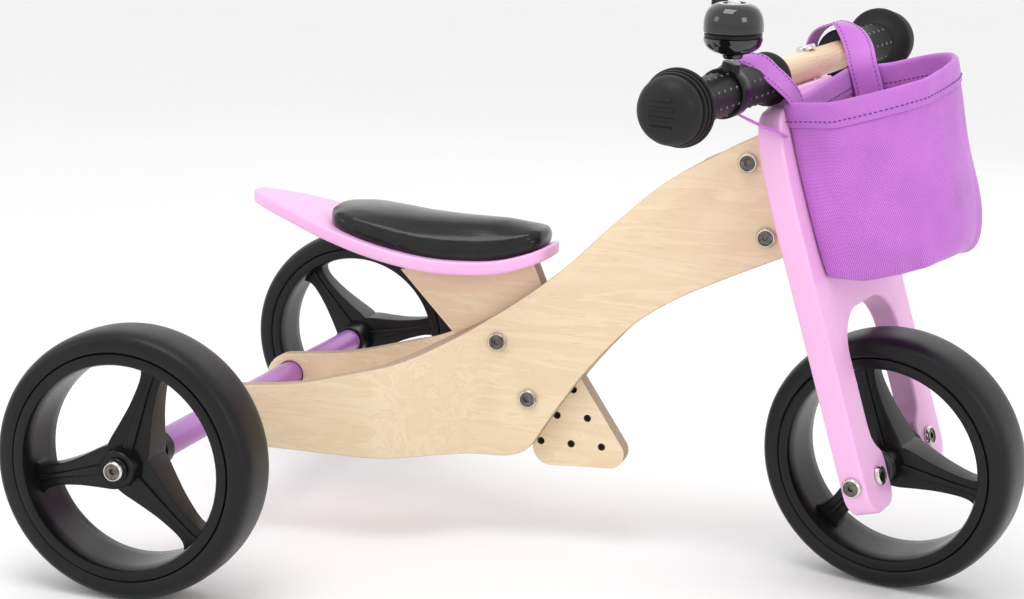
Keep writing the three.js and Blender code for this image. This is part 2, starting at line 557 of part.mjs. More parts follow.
function strapLoop(wall) {
  const shape = new THREE.Shape();
  const outer = 20.8 + wall;
  shape.absarc(0, 0, outer, Math.PI * 1.28, -0.12, true);
  shape.lineTo(forkFront - BAR_FORWARD + 4 + wall, -38 - wall);
  shape.lineTo(forkFront - BAR_FORWARD - 2 - wall, -38 - wall);
  shape.closePath();
  return shape;
}
const strap = cut(slabXZ(strapLoop(2), -STRAP_W / 2, STRAP_W / 2, 12),
  slabXZ(strapLoop(0), -STRAP_W, STRAP_W, 12));
addMesh(steered, 'bag_strap_left', strap, purpleFabric(), [BAR_FORWARD, STRAP_LEFT_AT, BAR_UP]);
addMesh(steered, 'bag_strap_right', strap, purpleFabric(), [BAR_FORWARD, STRAP_RIGHT_AT, BAR_UP]);

// The origin goes under the middle of the whole object, on the ground.
trike.updateMatrixWorld(true);
const extent = new THREE.Box3().setFromObject(trike, true);
const whole = new THREE.Group();
trike.position.set(-(extent.min.x + extent.max.x) / 2, -(extent.min.y + extent.max.y) / 2, 0);
whole.add(trike);

export default whole;
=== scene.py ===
# A child's plywood tricycle: two bent side panels, a seat plank, a curved seat with a cushion,
# a rear axle with two wheels, and a turning fork with the front wheel, bar, bell and bag.
import bmesh
import bpy
import math
from mathutils import Matrix, Vector, noise


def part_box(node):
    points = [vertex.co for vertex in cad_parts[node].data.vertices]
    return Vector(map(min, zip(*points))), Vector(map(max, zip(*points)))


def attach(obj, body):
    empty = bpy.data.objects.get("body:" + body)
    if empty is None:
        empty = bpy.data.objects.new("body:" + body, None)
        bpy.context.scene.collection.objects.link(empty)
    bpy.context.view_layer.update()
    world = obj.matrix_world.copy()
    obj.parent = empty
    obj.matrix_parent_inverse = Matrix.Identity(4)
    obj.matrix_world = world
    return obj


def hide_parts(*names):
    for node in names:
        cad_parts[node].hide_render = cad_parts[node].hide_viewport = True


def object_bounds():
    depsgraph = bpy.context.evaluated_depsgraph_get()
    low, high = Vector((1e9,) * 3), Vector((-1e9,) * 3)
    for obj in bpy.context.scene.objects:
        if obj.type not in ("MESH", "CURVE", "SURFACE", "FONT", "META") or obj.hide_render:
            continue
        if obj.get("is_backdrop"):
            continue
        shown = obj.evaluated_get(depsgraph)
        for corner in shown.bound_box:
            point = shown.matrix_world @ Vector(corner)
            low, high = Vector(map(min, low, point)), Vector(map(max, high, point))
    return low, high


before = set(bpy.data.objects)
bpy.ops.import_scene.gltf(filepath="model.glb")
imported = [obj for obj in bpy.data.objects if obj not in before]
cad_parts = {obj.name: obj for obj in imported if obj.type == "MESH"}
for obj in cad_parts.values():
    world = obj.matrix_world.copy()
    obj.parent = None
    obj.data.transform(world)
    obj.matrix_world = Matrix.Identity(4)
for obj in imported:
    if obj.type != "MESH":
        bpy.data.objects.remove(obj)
cad_box = [list(corner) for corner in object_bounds()]

# ---- Camera, floor and light ----
# The tricycle stands on a plain white studio floor that runs back to the horizon, in white daylight
# from all round. Four softboxes give it its faint shadow and the reflections in bolts and cushion.
FLOOR_HALF = 60
DAYLIGHT = 0.98
camera_back = Vector((0.2684, -0.9444, 0.1899)).normalized()
camera_level = Vector((math.cos(math.radians(15.866)), math.sin(math.radians(15.866)), 0))
camera_roll = math.radians(2.014)
camera_top = camera_back.cross(camera_level)
camera_right = camera_level * math.cos(camera_roll) + camera_top * math.sin(camera_roll)
camera_up = camera_back.cross(camera_right)
camera_data = bpy.data.cameras.new("camera")
camera_data.sensor_width = 36.0
camera_data.lens = 71.43
camera_data.shift_x = 0.00056
camera_data.shift_y = -0.0072
camera = bpy.data.objects.new("camera", camera_data)
camera.matrix_world = Matrix((camera_right, camera_up, camera_back)).transposed().to_4x4()
camera.location = (0.38804, -1.53489, 0.50921)
bpy.context.collection.objects.link(camera)
bpy.context.scene.camera = camera

for light_name, power, size, place, target in (
    ("softbox_top", 12.0, 1.0, (-0.2, -0.7, 2.0), (0.0, 0.0, 0.1)),
    ("softbox_front", 6.5, 0.8, (1.9, -1.5, 1.2), (0.1, 0.0, 0.2)),
    ("softbox_left", 4.0, 0.8, (-2.1, -1.3, 1.1), (0.0, 0.0, 0.2)),
    ("softbox_back", 3.5, 1.6, (0.3, 2.2, 1.5), (0.0, 0.0, 0.2)),
):
    light_data = bpy.data.lights.new(light_name, "AREA")
    light_data.energy = power
    light_data.size = size
    light = bpy.data.objects.new(light_name, light_data)
    light.location = place
    light.rotation_euler = (Vector(target) - Vector(place)).to_track_quat("-Z", "Y").to_euler()
    bpy.context.collection.objects.link(light)
world = bpy.data.worlds.new("studio")
world.use_nodes = True
world.node_tree.nodes["Background"].inputs["Color"].default_value = (1.0, 1.0, 1.0, 1)
world.node_tree.nodes["Background"].inputs["Strength"].default_value = DAYLIGHT
bpy.context.scene.world = world
bpy.context.scene.view_settings.view_transform = "Standard"


def add_node(tree, kind, values=None, **settings):
    """A shader node; each value is either set on its input or linked to it."""
    made = tree.nodes.new(kind)
    for key, value in settings.items():
        setattr(made, key, value)
    for key, value in (values or {}).items():
        if isinstance(value, bpy.types.NodeSocket):
            tree.links.new(value, made.inputs[key])
        else:
            made.inputs[key].default_value = value
    return made


def ramp(tree, fac, *stops):
    made = add_node(tree, "ShaderNodeValToRGB", {"Fac": fac})
    bands = made.color_ramp.elements
    bands[0].position, bands[1].position = stops[0][0], stops[-1][0]
    bands[0].color, bands[1].color = (*stops[0][1], 1), (*stops[-1][1], 1)
    for position, color in stops[1:-1]:
        bands.new(position).color = (*color, 1)
    return made.outputs["Color"]


def speckle(tree, coords, scale, detail=2.0):
    """Noise at a scale in waves per metre."""
    values = {"Vector": coords, "Scale": scale, "Detail": detail}
    return add_node(tree, "ShaderNodeTexNoise", values).outputs["Fac"]


def tint(tree, shader, socket, fac, *stops):
    """Drives one input of the shader with a ramp over fac."""
    tree.links.new(ramp(tree, fac, *stops), shader.inputs[socket])


def new_material(name, roughness, metallic=0.0, **sockets):
    material = bpy.data.materials.new(name)
    material.use_nodes = True
    shader = material.node_tree.nodes["Principled BSDF"]
    shader.inputs["Roughness"].default_value = roughness
    shader.inputs["Metallic"].default_value = metallic
    for key, value in sockets.items():
        shader.inputs[key.replace("_", " ")].default_value = value
    return material, material.node_tree, shader


def own_coordinates(tree, place=None):
    """Object coordinates, turned into the axes of a piece that stands at a slant."""
    coords = add_node(tree, "ShaderNodeTexCoord").outputs["Object"]
    if place is None:
        return coords
    return add_node(tree, "ShaderNodeMapping", {"Vector": coords, "Location": place.translation,
                    "Rotation": place.to_euler()}, vector_type="TEXTURE").outputs["Vector"]


def bump(tree, shader, height, strength, distance):
    lift = add_node(tree, "ShaderNodeBump", {"Height": height, "Strength": strength, "Distance": distance})
    tree.links.new(lift.outputs["Normal"], shader.inputs["Normal"])


def mottled(name, roughness, scale, low, high, metallic=0.0, **sockets):
    """A material whose colour wavers between two tones."""
    material, tree, shader = new_material(name, roughness, metallic, **sockets)
    tint(tree, shader, "Base Color", speckle(tree, own_coordinates(tree), scale), (0.3, low), (0.7, high))
    return material


bm = bmesh.new()
bmesh.ops.create_grid(bm, x_segments=1, y_segments=1, size=FLOOR_HALF)
floor_mesh = bpy.data.meshes.new("studio_floor")
bm.to_mesh(floor_mesh)
floor_mesh.materials.append(mottled("studio_floor", 0.85, 3.0, (0.9, 0.9, 0.9), (0.91, 0.91, 0.91)))
floor = bpy.data.objects.new("studio_floor", floor_mesh)
bpy.context.collection.objects.link(floor)
floor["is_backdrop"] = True

# ---- Side panels ----
# Two 12 mm birch plywood boards, pressed to a bend so that they stand apart at the axle and close
# on the plank and the head block in front. Clear satin varnish; the cut edges show the layers.
MM = 0.001
TO_METRES = Matrix.Scale(MM, 4)
AS_DRAWN = Matrix.Identity(4)
axle_low, axle_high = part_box("rear_axle")
AXLE_X = (axle_low.x + axle_high.x) / 2
FRAME = Matrix.Translation((AXLE_X, 0, 0))
ALONG_Y = Matrix.Rotation(math.radians(-90), 4, "X")
PANEL_T = 12.0
INNER_REAR, INNER_FRONT = 57.0, 9.0
BEND_START, BEND_END, BEND_CUTS = 112.0, 199.0, 16
SIDES = (("left", 1), ("right", -1))
PANEL_BOLTS = {"head_upper": (400, 320), "head_lower": (417, 264), "plank_upper": (208, 164),
               "plank_lower": (235, 120)}


def spline(points, steps=6):
    """Points on a smooth curve through the given ones, both ends kept."""
    line = [Vector(p) for p in points]
    ends = [2 * line[0] - line[1], *line, 2 * line[-1] - line[-2]]
    curve = []
    for a, b, c, d in zip(ends, ends[1:], ends[2:], ends[3:]):
        for i in range(steps):
            t = i / steps
            curve.append(0.5 * (2 * b + (c - a) * t + (2 * a - 5 * b + 4 * c - d) * t * t
                                + (3 * b - a - 3 * c + d) * t ** 3))
    return [tuple(p) for p in curve] + [tuple(line[-1])]


def arc(x, y, radius, start, stop, steps=8):
    angles = [math.radians(start + (stop - start) * i / steps) for i in range(steps + 1)]
    return [(x + radius * math.cos(a), y + radius * math.sin(a)) for a in angles]


def raised(bm, axis, height, edge, segments, **settings):
    """Raises a flat shape along an axis (1 is Y, 2 is Z) and eases the edges round both its faces."""
    made = bmesh.ops.extrude_face_region(bm, geom=bm.faces[:])
    lift = Vector()
    lift[axis] = height
    bmesh.ops.translate(bm, vec=lift, verts=[v for v in made["geom"] if isinstance(v, bmesh.types.BMVert)])
    bmesh.ops.recalc_face_normals(bm, faces=bm.faces[:])
    rims = [e for e in bm.edges if len(e.link_faces) == 2
            and (abs(e.link_faces[0].normal[axis]) > 0.9) != (abs(e.link_faces[1].normal[axis]) > 0.9)]
    bmesh.ops.bevel(bm, geom=rims, offset=edge, affect="EDGES", segments=segments, profile=0.5,
                    material=-1, **settings)
    return bm


def slice_at(bm, x=None, y=None):
    """Cuts every face across at x or at y, so that the shape can bend there."""
    plane = {"plane_co": (0, y, 0), "plane_no": (0, 1, 0)} if x is None else \
        {"plane_co": (x, 0, 0), "plane_no": (1, 0, 0)}
    bmesh.ops.bisect_plane(bm, geom=bm.verts[:] + bm.edges[:] + bm.faces[:], dist=1e-5, **plane)


def flat_board(outline, low, high, holes=(), edge=1.0, segments=3):
    """A board cut to an outline in X and Z, thick along Y, with drilled holes and eased edges."""
    bm = bmesh.new()
    loops = [outline] + [arc(x, z, r, 0, 360, 24)[:-1] for x, z, r in holes]
    for loop in loops:
        ring = [bm.verts.new((x, low, z)) for x, z in loop]
        for a, b in zip(ring, ring[1:] + ring[:1]):
            bm.edges.new((a, b))
    bmesh.ops.triangle_fill(bm, use_beauty=True, edges=bm.edges[:], normal=(0, -1, 0))
    bmesh.ops.dissolve_limit(bm, angle_limit=0.02, verts=bm.verts[:], edges=bm.edges[:])
    return raised(bm, 1, high - low, edge, segments, clamp_overlap=True)


def mark_layers(bm, low, high):
    """Puts the cut edges in the second material and writes how deep each point is in the board."""
    uv = bm.loops.layers.uv.new("layers")
    for face in bm.faces:
        face.material_index = 1 if abs(face.normal.y) < 0.8 else 0
        for loop in face.loops:
            loop[uv].uv = ((loop.vert.co.x + loop.vert.co.z) * MM, (loop.vert.co.y - low) / (high - low))


def piece(name, bm, materials, body, slot, *nodes, place=FRAME, angle=35):
    """Turns a shape in millimetres into an object in the frame, riding on its body."""
    bmesh.ops.transform(bm, matrix=place @ TO_METRES, verts=bm.verts[:])
    mesh = bpy.data.meshes.new(name)
    bm.to_mesh(mesh)
    bm.free()
    for material in materials if isinstance(materials, (list, tuple)) else [materials]:
        mesh.materials.append(material)
    mesh.shade_smooth()
    mesh.set_sharp_from_angle(angle=math.radians(angle))
    made = bpy.data.objects.new(name, mesh)
    bpy.context.collection.objects.link(made)
    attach(made, body)
    if nodes:
        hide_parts(*nodes)
    return made


def darkened(tree, color, by, share):
    """A colour multiplied by another, to the given share."""
    return add_node(tree, "ShaderNodeMixRGB", {"Fac": share, "Color1": color, "Color2": by},
                    blend_type="MULTIPLY").outputs["Color"]


def birch(name, place=None, grain=(4, 42, 42), light=(0.83, 0.68, 0.47), warm=(0.73, 0.53, 0.31)):
    """Rotary-cut birch veneer under varnish: pale, with long soft figure and short dark pores."""
    material, tree, shader = new_material(name, 0.42, Coat_Weight=0.2, Coat_Roughness=0.25)
    coords = own_coordinates(tree, place)
    along = add_node(tree, "ShaderNodeMapping", {"Vector": coords, "Scale": grain}).outputs["Vector"]
    figure = add_node(tree, "ShaderNodeTexNoise", {"Vector": along, "Scale": 1.3, "Detail": 6.0,
                      "Roughness": 0.6, "Distortion": 1.1}).outputs["Fac"]
    pores = add_node(tree, "ShaderNodeTexNoise", {"Vector": along, "Scale": 16.0, "Detail": 3.0,
                     "Roughness": 0.7}).outputs["Fac"]
    between = tuple(0.5 * (a + b) for a, b in zip(light, warm))
    tone = ramp(tree, figure, (0.3, light), (0.5, between), (0.52, light), (0.75, warm))
    fleck = ramp(tree, pores, (0.3, (0.8, 0.72, 0.64)), (0.42, (1, 1, 1)))
    tree.links.new(darkened(tree, tone, fleck, 0.4), shader.inputs["Base Color"])
    bump(tree, shader, pores, 0.12, 0.0004)
    return material


def ply_layers(name, layers, dark=(0.33, 0.25, 0.17), light=(0.62, 0.49, 0.34)):
    """The sawn edge: long-grain layers light, cross layers dark and open, a thin glue line between."""
    material, tree, shader = new_material(name, 0.6)
    uv = add_node(tree, "ShaderNodeUVMap", uv_map="layers").outputs["UV"]
    split = add_node(tree, "ShaderNodeSeparateXYZ", {"Vector": uv})
    count = add_node(tree, "ShaderNodeMath", {0: split.outputs["Y"], 1: layers / 2}, operation="MULTIPLY")
    beat = add_node(tree, "ShaderNodeMath", {0: count.outputs[0], 1: 1.0}, operation="FRACT").outputs[0]
    bands = ramp(tree, beat, (0.0, light), (0.44, light), (0.47, (0.2, 0.14, 0.09)), (0.53, dark),
                 (0.95, dark), (1.0, (0.2, 0.14, 0.09)))
    streak = add_node(tree, "ShaderNodeMapping", {"Vector": uv, "Scale": (900, 14, 1)}).outputs["Vector"]
    grain = speckle(tree, streak, 1.0, 4.0)
    shade = ramp(tree, grain, (0.3, (0.72, 0.7, 0.68)), (0.7, (1.1, 1.1, 1.08)))
    tree.links.new(darkened(tree, bands, shade, 1.0), shader.inputs["Base Color"])
    bump(tree, shader, grain, 0.25, 0.0005)
    return material


birch_face = birch("birch_veneer")
birch_edge = ply_layers("birch_layers", 9)
STEER_TILT = math.radians(17.5)
STEER_REST = math.radians(-16)
LEAD = 22.5
foot_z = 93.9
steer_foot_x = 522 - LEAD * math.cos(STEER_TILT)


def axis_x(height):
    return steer_foot_x - (height - foot_z) * math.tan(STEER_TILT)


set_back = 6 / math.cos(STEER_TILT)
panel_outline = spline([(0, 118), (56, 125), (101, 137), (142, 150), (191, 176), (225, 199), (262, 229),
                        (300, 267), (338, 301), (379, 326), (axis_x(345) - set_back, 345)])
panel_outline += spline([(axis_x(256) - set_back, 256), (430, 249.5), (384, 228), (346, 208), (315, 185),
                         (283, 149), (262, 119), (247, 95), (236, 79), (220, 71.5), (196, 70)])
panel_outline += arc(0, 92, 22, 270, 180) + arc(0, 96, 22, 180, 90)[:-1]


def panel_inner(x):
    t = min(max((x - BEND_START) / (BEND_END - BEND_START), 0), 1)
    return INNER_REAR + (INNER_FRONT - INNER_REAR) * (0.5 - 0.5 * math.cos(math.pi * t))


for side, hand in SIDES:
    bm = flat_board(panel_outline, -PANEL_T / 2, PANEL_T / 2,
                    [(0, 100, 11.5), *((x, z, 4.9) for x, z in PANEL_BOLTS.values())], edge=1.2)
    for step in range(BEND_CUTS + 1):
        slice_at(bm, x=BEND_START + (BEND_END - BEND_START) * step / BEND_CUTS)
    mark_layers(bm, -PANEL_T / 2, PANEL_T / 2)
    for v in bm.verts:
        slope = panel_inner(v.co.x + 0.5) - panel_inner(v.co.x - 0.5)
        depth, length = v.co.y, math.hypot(1, slope)
        v.co.y = hand * (panel_inner(v.co.x) + PANEL_T / 2 + depth / length)
        v.co.x -= slope / length * depth
    if hand < 0:
        bmesh.ops.reverse_faces(bm, faces=bm.faces[:])
    piece(f"side_panel_{side}_board", bm, [birch_face, birch_edge], "frame", "birch_plywood",
          f"side_panel_{side}")

# ---- Head block, between the panels behind the fork ----
# A block of the same plywood with a round nose, bored for the steering pin. It keeps the shape it has
# in the frame and takes a birch veneer that is a little darker than the panels.
head_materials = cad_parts["head_block"].data.materials
head_materials.clear()
head_materials.append(birch("birch_block", light=(0.74, 0.59, 0.4), warm=(0.6, 0.45, 0.29)))

# ---- Seat plank ----
# An 18 mm plywood board, upright between the panels. Its foot ends in a rounded triangle with six
# drilled holes that set the seat's height.
PLANK_HALF = 8.7
HOLE_R = 3.0
foot = [(121, 213), (231, 99)] + arc(252, 79, 15, 150, 270) + arc(300, 78.5, 12, 270, 390)
plank_outline = foot + spline([(274, 138), (256, 172), (239, 211)]) + [(231, 229), (180, 217), (150, 219)]
plank_holes = [(268.5 + (n - row / 2) * 25, 128 - row * 22.3, HOLE_R)
               for row in range(3) for n in range(row + 1)]
bm = flat_board(plank_outline, -PLANK_HALF, PLANK_HALF, plank_holes, edge=1.0)
mark_layers(bm, -PLANK_HALF, PLANK_HALF)
plank_edge = ply_layers("plank_layers", 13)
piece("seat_plank_board", bm, [birch_face, plank_edge], "frame", "birch_plywood", "seat_plank")
# The hole walls take the brown of drilled end grain, darkened to near black as painted shade inside the
# holes.
drilled = mottled("drilled_wood_painted_shade", 0.85, 900.0, (0.045, 0.024, 0.012), (0.12, 0.07, 0.04))


def turned(profile, segments=48):
    """A profile of (radius, height) turned about Z into a closed shape, normals outwards."""
    bm = bmesh.new()
    line = [bm.verts.new((r, 0, h)) for r, h in profile]
    edges = [bm.edges.new(pair) for pair in zip(line, line[1:])]
    bmesh.ops.spin(bm, geom=line + edges, cent=(0, 0, 0), axis=(0, 0, 1), angle=math.tau, steps=segments,
                   use_merge=True, use_duplicate=False)
    bmesh.ops.remove_doubles(bm, verts=bm.verts[:], dist=1e-4)
    bmesh.ops.recalc_face_normals(bm, faces=bm.faces[:])
    return bm


def merged(shapes):
    """Several shapes, each with its own placing in millimetres, in one mesh."""
    whole = bmesh.new()
    for shape, place in shapes:
        bmesh.ops.transform(shape, matrix=place, verts=shape.verts[:])
        part = bpy.data.meshes.new("part")
        shape.to_mesh(part)
        whole.from_mesh(part)
        bpy.data.meshes.remove(part)
    return whole


def placed(shape, place):
    return merged([(shape, place)])


liner = [(2.98, -8.0), (2.98, 8.0), (2.75, 8.0), (2.75, -8.0), (2.98, -8.0)]
liners = [(turned(liner, 24), Matrix.Translation((x, 0, z)) @ ALONG_Y) for x, z, r in plank_holes]
piece("seat_plank_hole_walls", merged(liners), drilled, "frame", "birch_plywood")

# ---- Seat board ----
# A long board of plywood, pressed to a saddle curve, with a broad tapering tail. It is painted
# satin pink all round, and its edges are rounded by hand.
SEAT_T = 10.5
seat_line = spline([(-12, 270), (33, 260), (73, 248.5), (113, 237.5), (150, 230.8), (180, 229.3), (208, 231),
                    (232, 237.5), (252, 246)], 8)


def read_off(line, x):
    """The second coordinate at x of a line that runs with growing x; level beyond its ends."""
    for (xa, ya), (xb, yb) in zip(line, line[1:]):
        if x <= xb:
            return ya + (yb - ya) * max(0.0, (x - xa) / max(xb - xa, 1e-6))
    return line[-1][1]


def painted(name, color, shade, roughness=0.36):
    """Two coats of satin paint over sanded plywood: faint orange peel and a soft change of tone."""
    material, tree, shader = new_material(name, roughness, Coat_Weight=0.12, Coat_Roughness=0.2)
    coords = own_coordinates(tree)
    tint(tree, shader, "Base Color", speckle(tree, coords, 9.0, 3.0), (0.3, color), (0.75, shade))
    bump(tree, shader, speckle(tree, coords, 420.0), 0.1, 0.0003)
    return material


pink_paint = painted("pink_paint", (0.90, 0.50, 0.80), (0.86, 0.45, 0.76))
seat_half = spline([(-8, 0), (-6, 10), (13, 25.5), (33, 36.5), (53, 45), (73, 50), (93, 52.5), (113, 52.5),
                    (140, 51), (173, 46), (205, 39), (230, 32), (243, 24), (247, 10)], 4)


def plan_shape(half, cuts, low, high, edge):
    """A plan outline mirrored across the middle, raised along Z and cut across so that it can bend."""
    bm = bmesh.new()
    ring = [bm.verts.new((x, y, low)) for x, y in half]
    ring += [bm.verts.new((x, -y, low)) for x, y in reversed(half) if y > 1e-6]
    bm.faces.new(ring)
    raised(bm, 2, high - low, edge, 4)
    for x in cuts:
        slice_at(bm, x=x)
    return bm


bm = plan_shape(seat_half, range(0, 246, 6), -SEAT_T, 0, 2.2)
for v in bm.verts:
    v.co.z += read_off(seat_line, v.co.x)
piece("seat_board_painted", bm, pink_paint, "frame", "pink_painted_plywood", "seat_board", angle=45)

# ---- Cushion ----
# A foam pad under a glossy black leatherette cover. A wall stands round it, and a crowned top panel
# meets the wall at a seam that draws in a little all round.
CUSHION_WALL = 12.5
GAP_UNDER = 0.4
crown_line = [(60, 256), (63, 258), (72, 261.5), (90, 262), (116, 261), (137, 259), (167, 258), (205, 258),
              (235, 257), (240, 255.5), (246, 253)]


def cushion_rise(x, y, half):
    """Height of the crowned top over the board."""
    top = read_off(crown_line, x) - read_off(seat_line, x)
    across = max(0.0, 1 - (y / half) ** 2)
    return CUSHION_WALL + max(0.5, top - CUSHION_WALL) * across ** 0.6


cushion_half = spline([(63, 0), (63.5, 12), (66, 24), (72, 36), (80, 43), (93, 46.8), (113, 47.3), (140, 46),
                       (173, 41.3), (205, 34.5), (228, 28.5), (237, 24), (241, 14), (242, 6)], 4)


bm = plan_shape(cushion_half, range(66, 242, 6), GAP_UNDER, CUSHION_WALL, 1.5)
for y in range(-44, 45, 4):
    slice_at(bm, y=y)
for v in bm.verts:
    if v.co.z > CUSHION_WALL - 0.8:
        v.co.z += cushion_rise(v.co.x, v.co.y, max(read_off(cushion_half, v.co.x), 8)) - CUSHION_WALL
    v.co.z += read_off(seat_line, v.co.x)
leatherette, tree, shader = new_material("black_leatherette", 0.2, Specular_IOR_Level=0.3, Coat_Weight=0.12,
                                     Coat_Roughness=0.06)
coords = own_coordinates(tree)
pebble = add_node(tree, "ShaderNodeTexVoronoi", {"Vector": coords, "Scale": 900.0},
                  feature="SMOOTH_F1").outputs["Distance"]
folds = speckle(tree, coords, 60.0, 4.0)
tint(tree, shader, "Base Color", folds, (0.35, (0.004, 0.004, 0.0045)), (0.7, (0.009, 0.009, 0.0095)))
tint(tree, shader, "Roughness", folds, (0.3, (0.17, 0.17, 0.17)), (0.7, (0.22, 0.22, 0.22)))
bump(tree, shader, pebble, 0.3, 0.0004)
cushion = piece("seat_cushion_pad", bm, leatherette, "frame", "black_leatherette", "seat_cushion", angle=180)


def apply_modifier(obj, modifier):
    bpy.ops.object.select_all(action="DESELECT")
    obj.select_set(True)
    bpy.context.view_layer.objects.active = obj
    bpy.ops.object.modifier_apply(modifier=modifier.name)


CLOTH_STEPS = 20
SWELL = 2.2 * MM
SPREAD_ROUNDS, SMOOTHING_ROUNDS = 30, 6
SEAM_PULL, SEAM_BAND = 1.0, 2.4
remesh = cushion.modifiers.new("even_mesh", "REMESH")
remesh.mode = "VOXEL"
remesh.voxel_size = 2.6 * MM
apply_modifier(cushion, remesh)
start_shape = [v.co.copy() for v in cushion.data.vertices]
cloth = cushion.modifiers.new("cover", "CLOTH")
cloth.settings.quality = 5
cloth.settings.mass = 0.2
cloth.settings.use_pressure = True
cloth.settings.uniform_pressure_force = 4.0
cloth.settings.tension_stiffness = cloth.settings.compression_stiffness = 12.0
cloth.settings.bending_stiffness = 0.6
cloth.settings.effector_weights.gravity = 0.0
cloth.point_cache.frame_end = CLOTH_STEPS
for step in range(1, CLOTH_STEPS + 1):
    bpy.context.scene.frame_set(step)
apply_modifier(cushion, cloth)
bpy.context.scene.frame_set(1)
neighbours = [[] for v in cushion.data.vertices]
for edge in cushion.data.edges:
    a, b = edge.vertices
    neighbours[a].append(b)
    neighbours[b].append(a)
swelling = [v.co - before for v, before in zip(cushion.data.vertices, start_shape)]
for step in range(SPREAD_ROUNDS):
    swelling = [0.4 * here + 0.6 * sum((swelling[i] for i in around), Vector()) / len(around)
                for here, around in zip(swelling, neighbours)]
for v, before, moved in zip(cushion.data.vertices, start_shape, swelling):
    v.co = before + moved * min(1.0, SWELL / max(moved.length, 1e-9))
smoothing = bmesh.new()
smoothing.from_mesh(cushion.data)
for step in range(SMOOTHING_ROUNDS):
    bmesh.ops.smooth_vert(smoothing, verts=smoothing.verts[:], factor=0.5, use_axis_x=True, use_axis_y=True,
                          use_axis_z=True)
smoothing.to_mesh(cushion.data)
smoothing.free()
for v in cushion.data.vertices:
    x = (v.co.x - AXLE_X) / MM
    base = read_off(seat_line, x) * MM
    v.co.z = max(v.co.z, base + GAP_UNDER * MM)
    seam = (v.co.z - base) / MM - CUSHION_WALL
    inward = SEAM_PULL * math.exp(-(seam / SEAM_BAND) ** 2) * min(1.0, abs(v.co.y / MM) / 10)
    side = min(1.0, max(0.0, (abs(v.co.y) / MM - read_off(cushion_half, x) + 6) / 4))
    pull = Vector((0 if 75 < x < 225 else (1 if x < 150 else -1) * 0.7, -math.copysign(side, v.co.y), 0))
    v.co += pull * inward * MM


def rounded(obj):
    smooth = obj.modifiers.new("round", "SUBSURF")
    smooth.levels = smooth.render_levels = 1


rounded(cushion)

# ---- Panel bolts ----
# Bright nickel-plated furniture bolts, each with a flat domed head and a hex socket. Four go through
# the panels, two into the head block and two into the plank, and meet sleeve nuts from the far side.
HEAD_R, HEAD_H = 7.7, 3.4
SOCKET_HALF, SOCKET_TOP, SOCKET_FLOOR = 2.25, 2.9, 0.9
CLEAR = 0.3


def socket_bolt(face, low, shank):
    """A bolt along Z with its head's underside at face and its shank's end at low."""
    bm = turned([(0, low), (shank - 0.4, low), (shank, low + 0.5), (shank, face), (HEAD_R - 0.3, face),
                 (HEAD_R, face + 0.3), (HEAD_R, face + 1.7), (HEAD_R - 0.4, face + 2.6),
                 (HEAD_R - 1.1, face + HEAD_H), (HEAD_R - 1.7, face + 3.3), (5.8, face + 2.7),
                 (5.4, face + 2.5), (4.0, face + 2.7), (3.4, face + SOCKET_TOP)])
    rim = [e for e in bm.edges if e.is_boundary]
    for step in range(2):
        made = bmesh.ops.extrude_edge_only(bm, edges=rim)["geom"]
        rim = [e for e in made if isinstance(e, bmesh.types.BMEdge) and e.is_boundary]
        for v in {v for e in rim for v in e.verts}:
            if step == 0:
                angle = math.atan2(v.co.y, v.co.x)
                flat = math.radians(30)
                reach = SOCKET_HALF / math.cos((angle + flat) % (2 * flat) - flat)
                v.co = (reach * math.cos(angle), reach * math.sin(angle), face + SOCKET_TOP)
            else:
                v.co.z = face + SOCKET_FLOOR
    bmesh.ops.holes_fill(bm, edges=rim)
    bmesh.ops.recalc_face_normals(bm, faces=bm.faces[:])
    # The socket and the dished ring round it take the second, dark material: painted shade in the recess.
    for f in bm.faces:
        middle = f.calc_center_median()
        if middle.z > face + 0.5 and math.hypot(middle.x, middle.y) < 5.9:
            f.material_index = 1
    return bm


# Dark nickel for the socket and the ring round it: painted shade in the recess of each bolt head.
painted_recess_shade = mottled("nickel_painted_recess_shade", 0.3, 400.0, (0.09, 0.08, 0.075), (0.2, 0.185, 0.17), 1.0)
nickel, tree, shader = new_material("nickel_plate", 0.16, 1.0)
tarnish = speckle(tree, own_coordinates(tree), 260.0, 4.0)
tint(tree, shader, "Base Color", tarnish, (0.3, (0.62, 0.59, 0.54)), (0.7, (0.78, 0.76, 0.72)))
tint(tree, shader, "Roughness", tarnish, (0.35, (0.12, 0.12, 0.12)), (0.7, (0.26, 0.26, 0.26)))
OUTER_FACE = INNER_FRONT + PANEL_T + CLEAR
FLIP = Matrix.Rotation(math.pi, 4, "X")


def bolt_piece(name, at, face, low, body, node, place=FRAME, shank=3.0):
    """A nickel-plated bolt along the Z of at, with its head's underside at face and its end at low."""
    piece(name, placed(socket_bolt(face, low, shank), at), [nickel, painted_recess_shade], body, "bright_metal", node,
          place=place)


for bolt, (x, z) in PANEL_BOLTS.items():
    spot = Matrix.Translation((x, 0, z)) @ ALONG_Y
    turn = Matrix.Rotation(math.radians(x * 7 % 60), 4, "Z")
    bolt_piece(f"{bolt}_panel_bolt", spot @ FLIP @ turn, OUTER_FACE, -8, "frame", f"{bolt}_bolt")
    bolt_piece(f"{bolt}_barrel_nut", spot @ turn, OUTER_FACE, 9, "frame", f"{bolt}_sleeve_nut", shank=4.5)

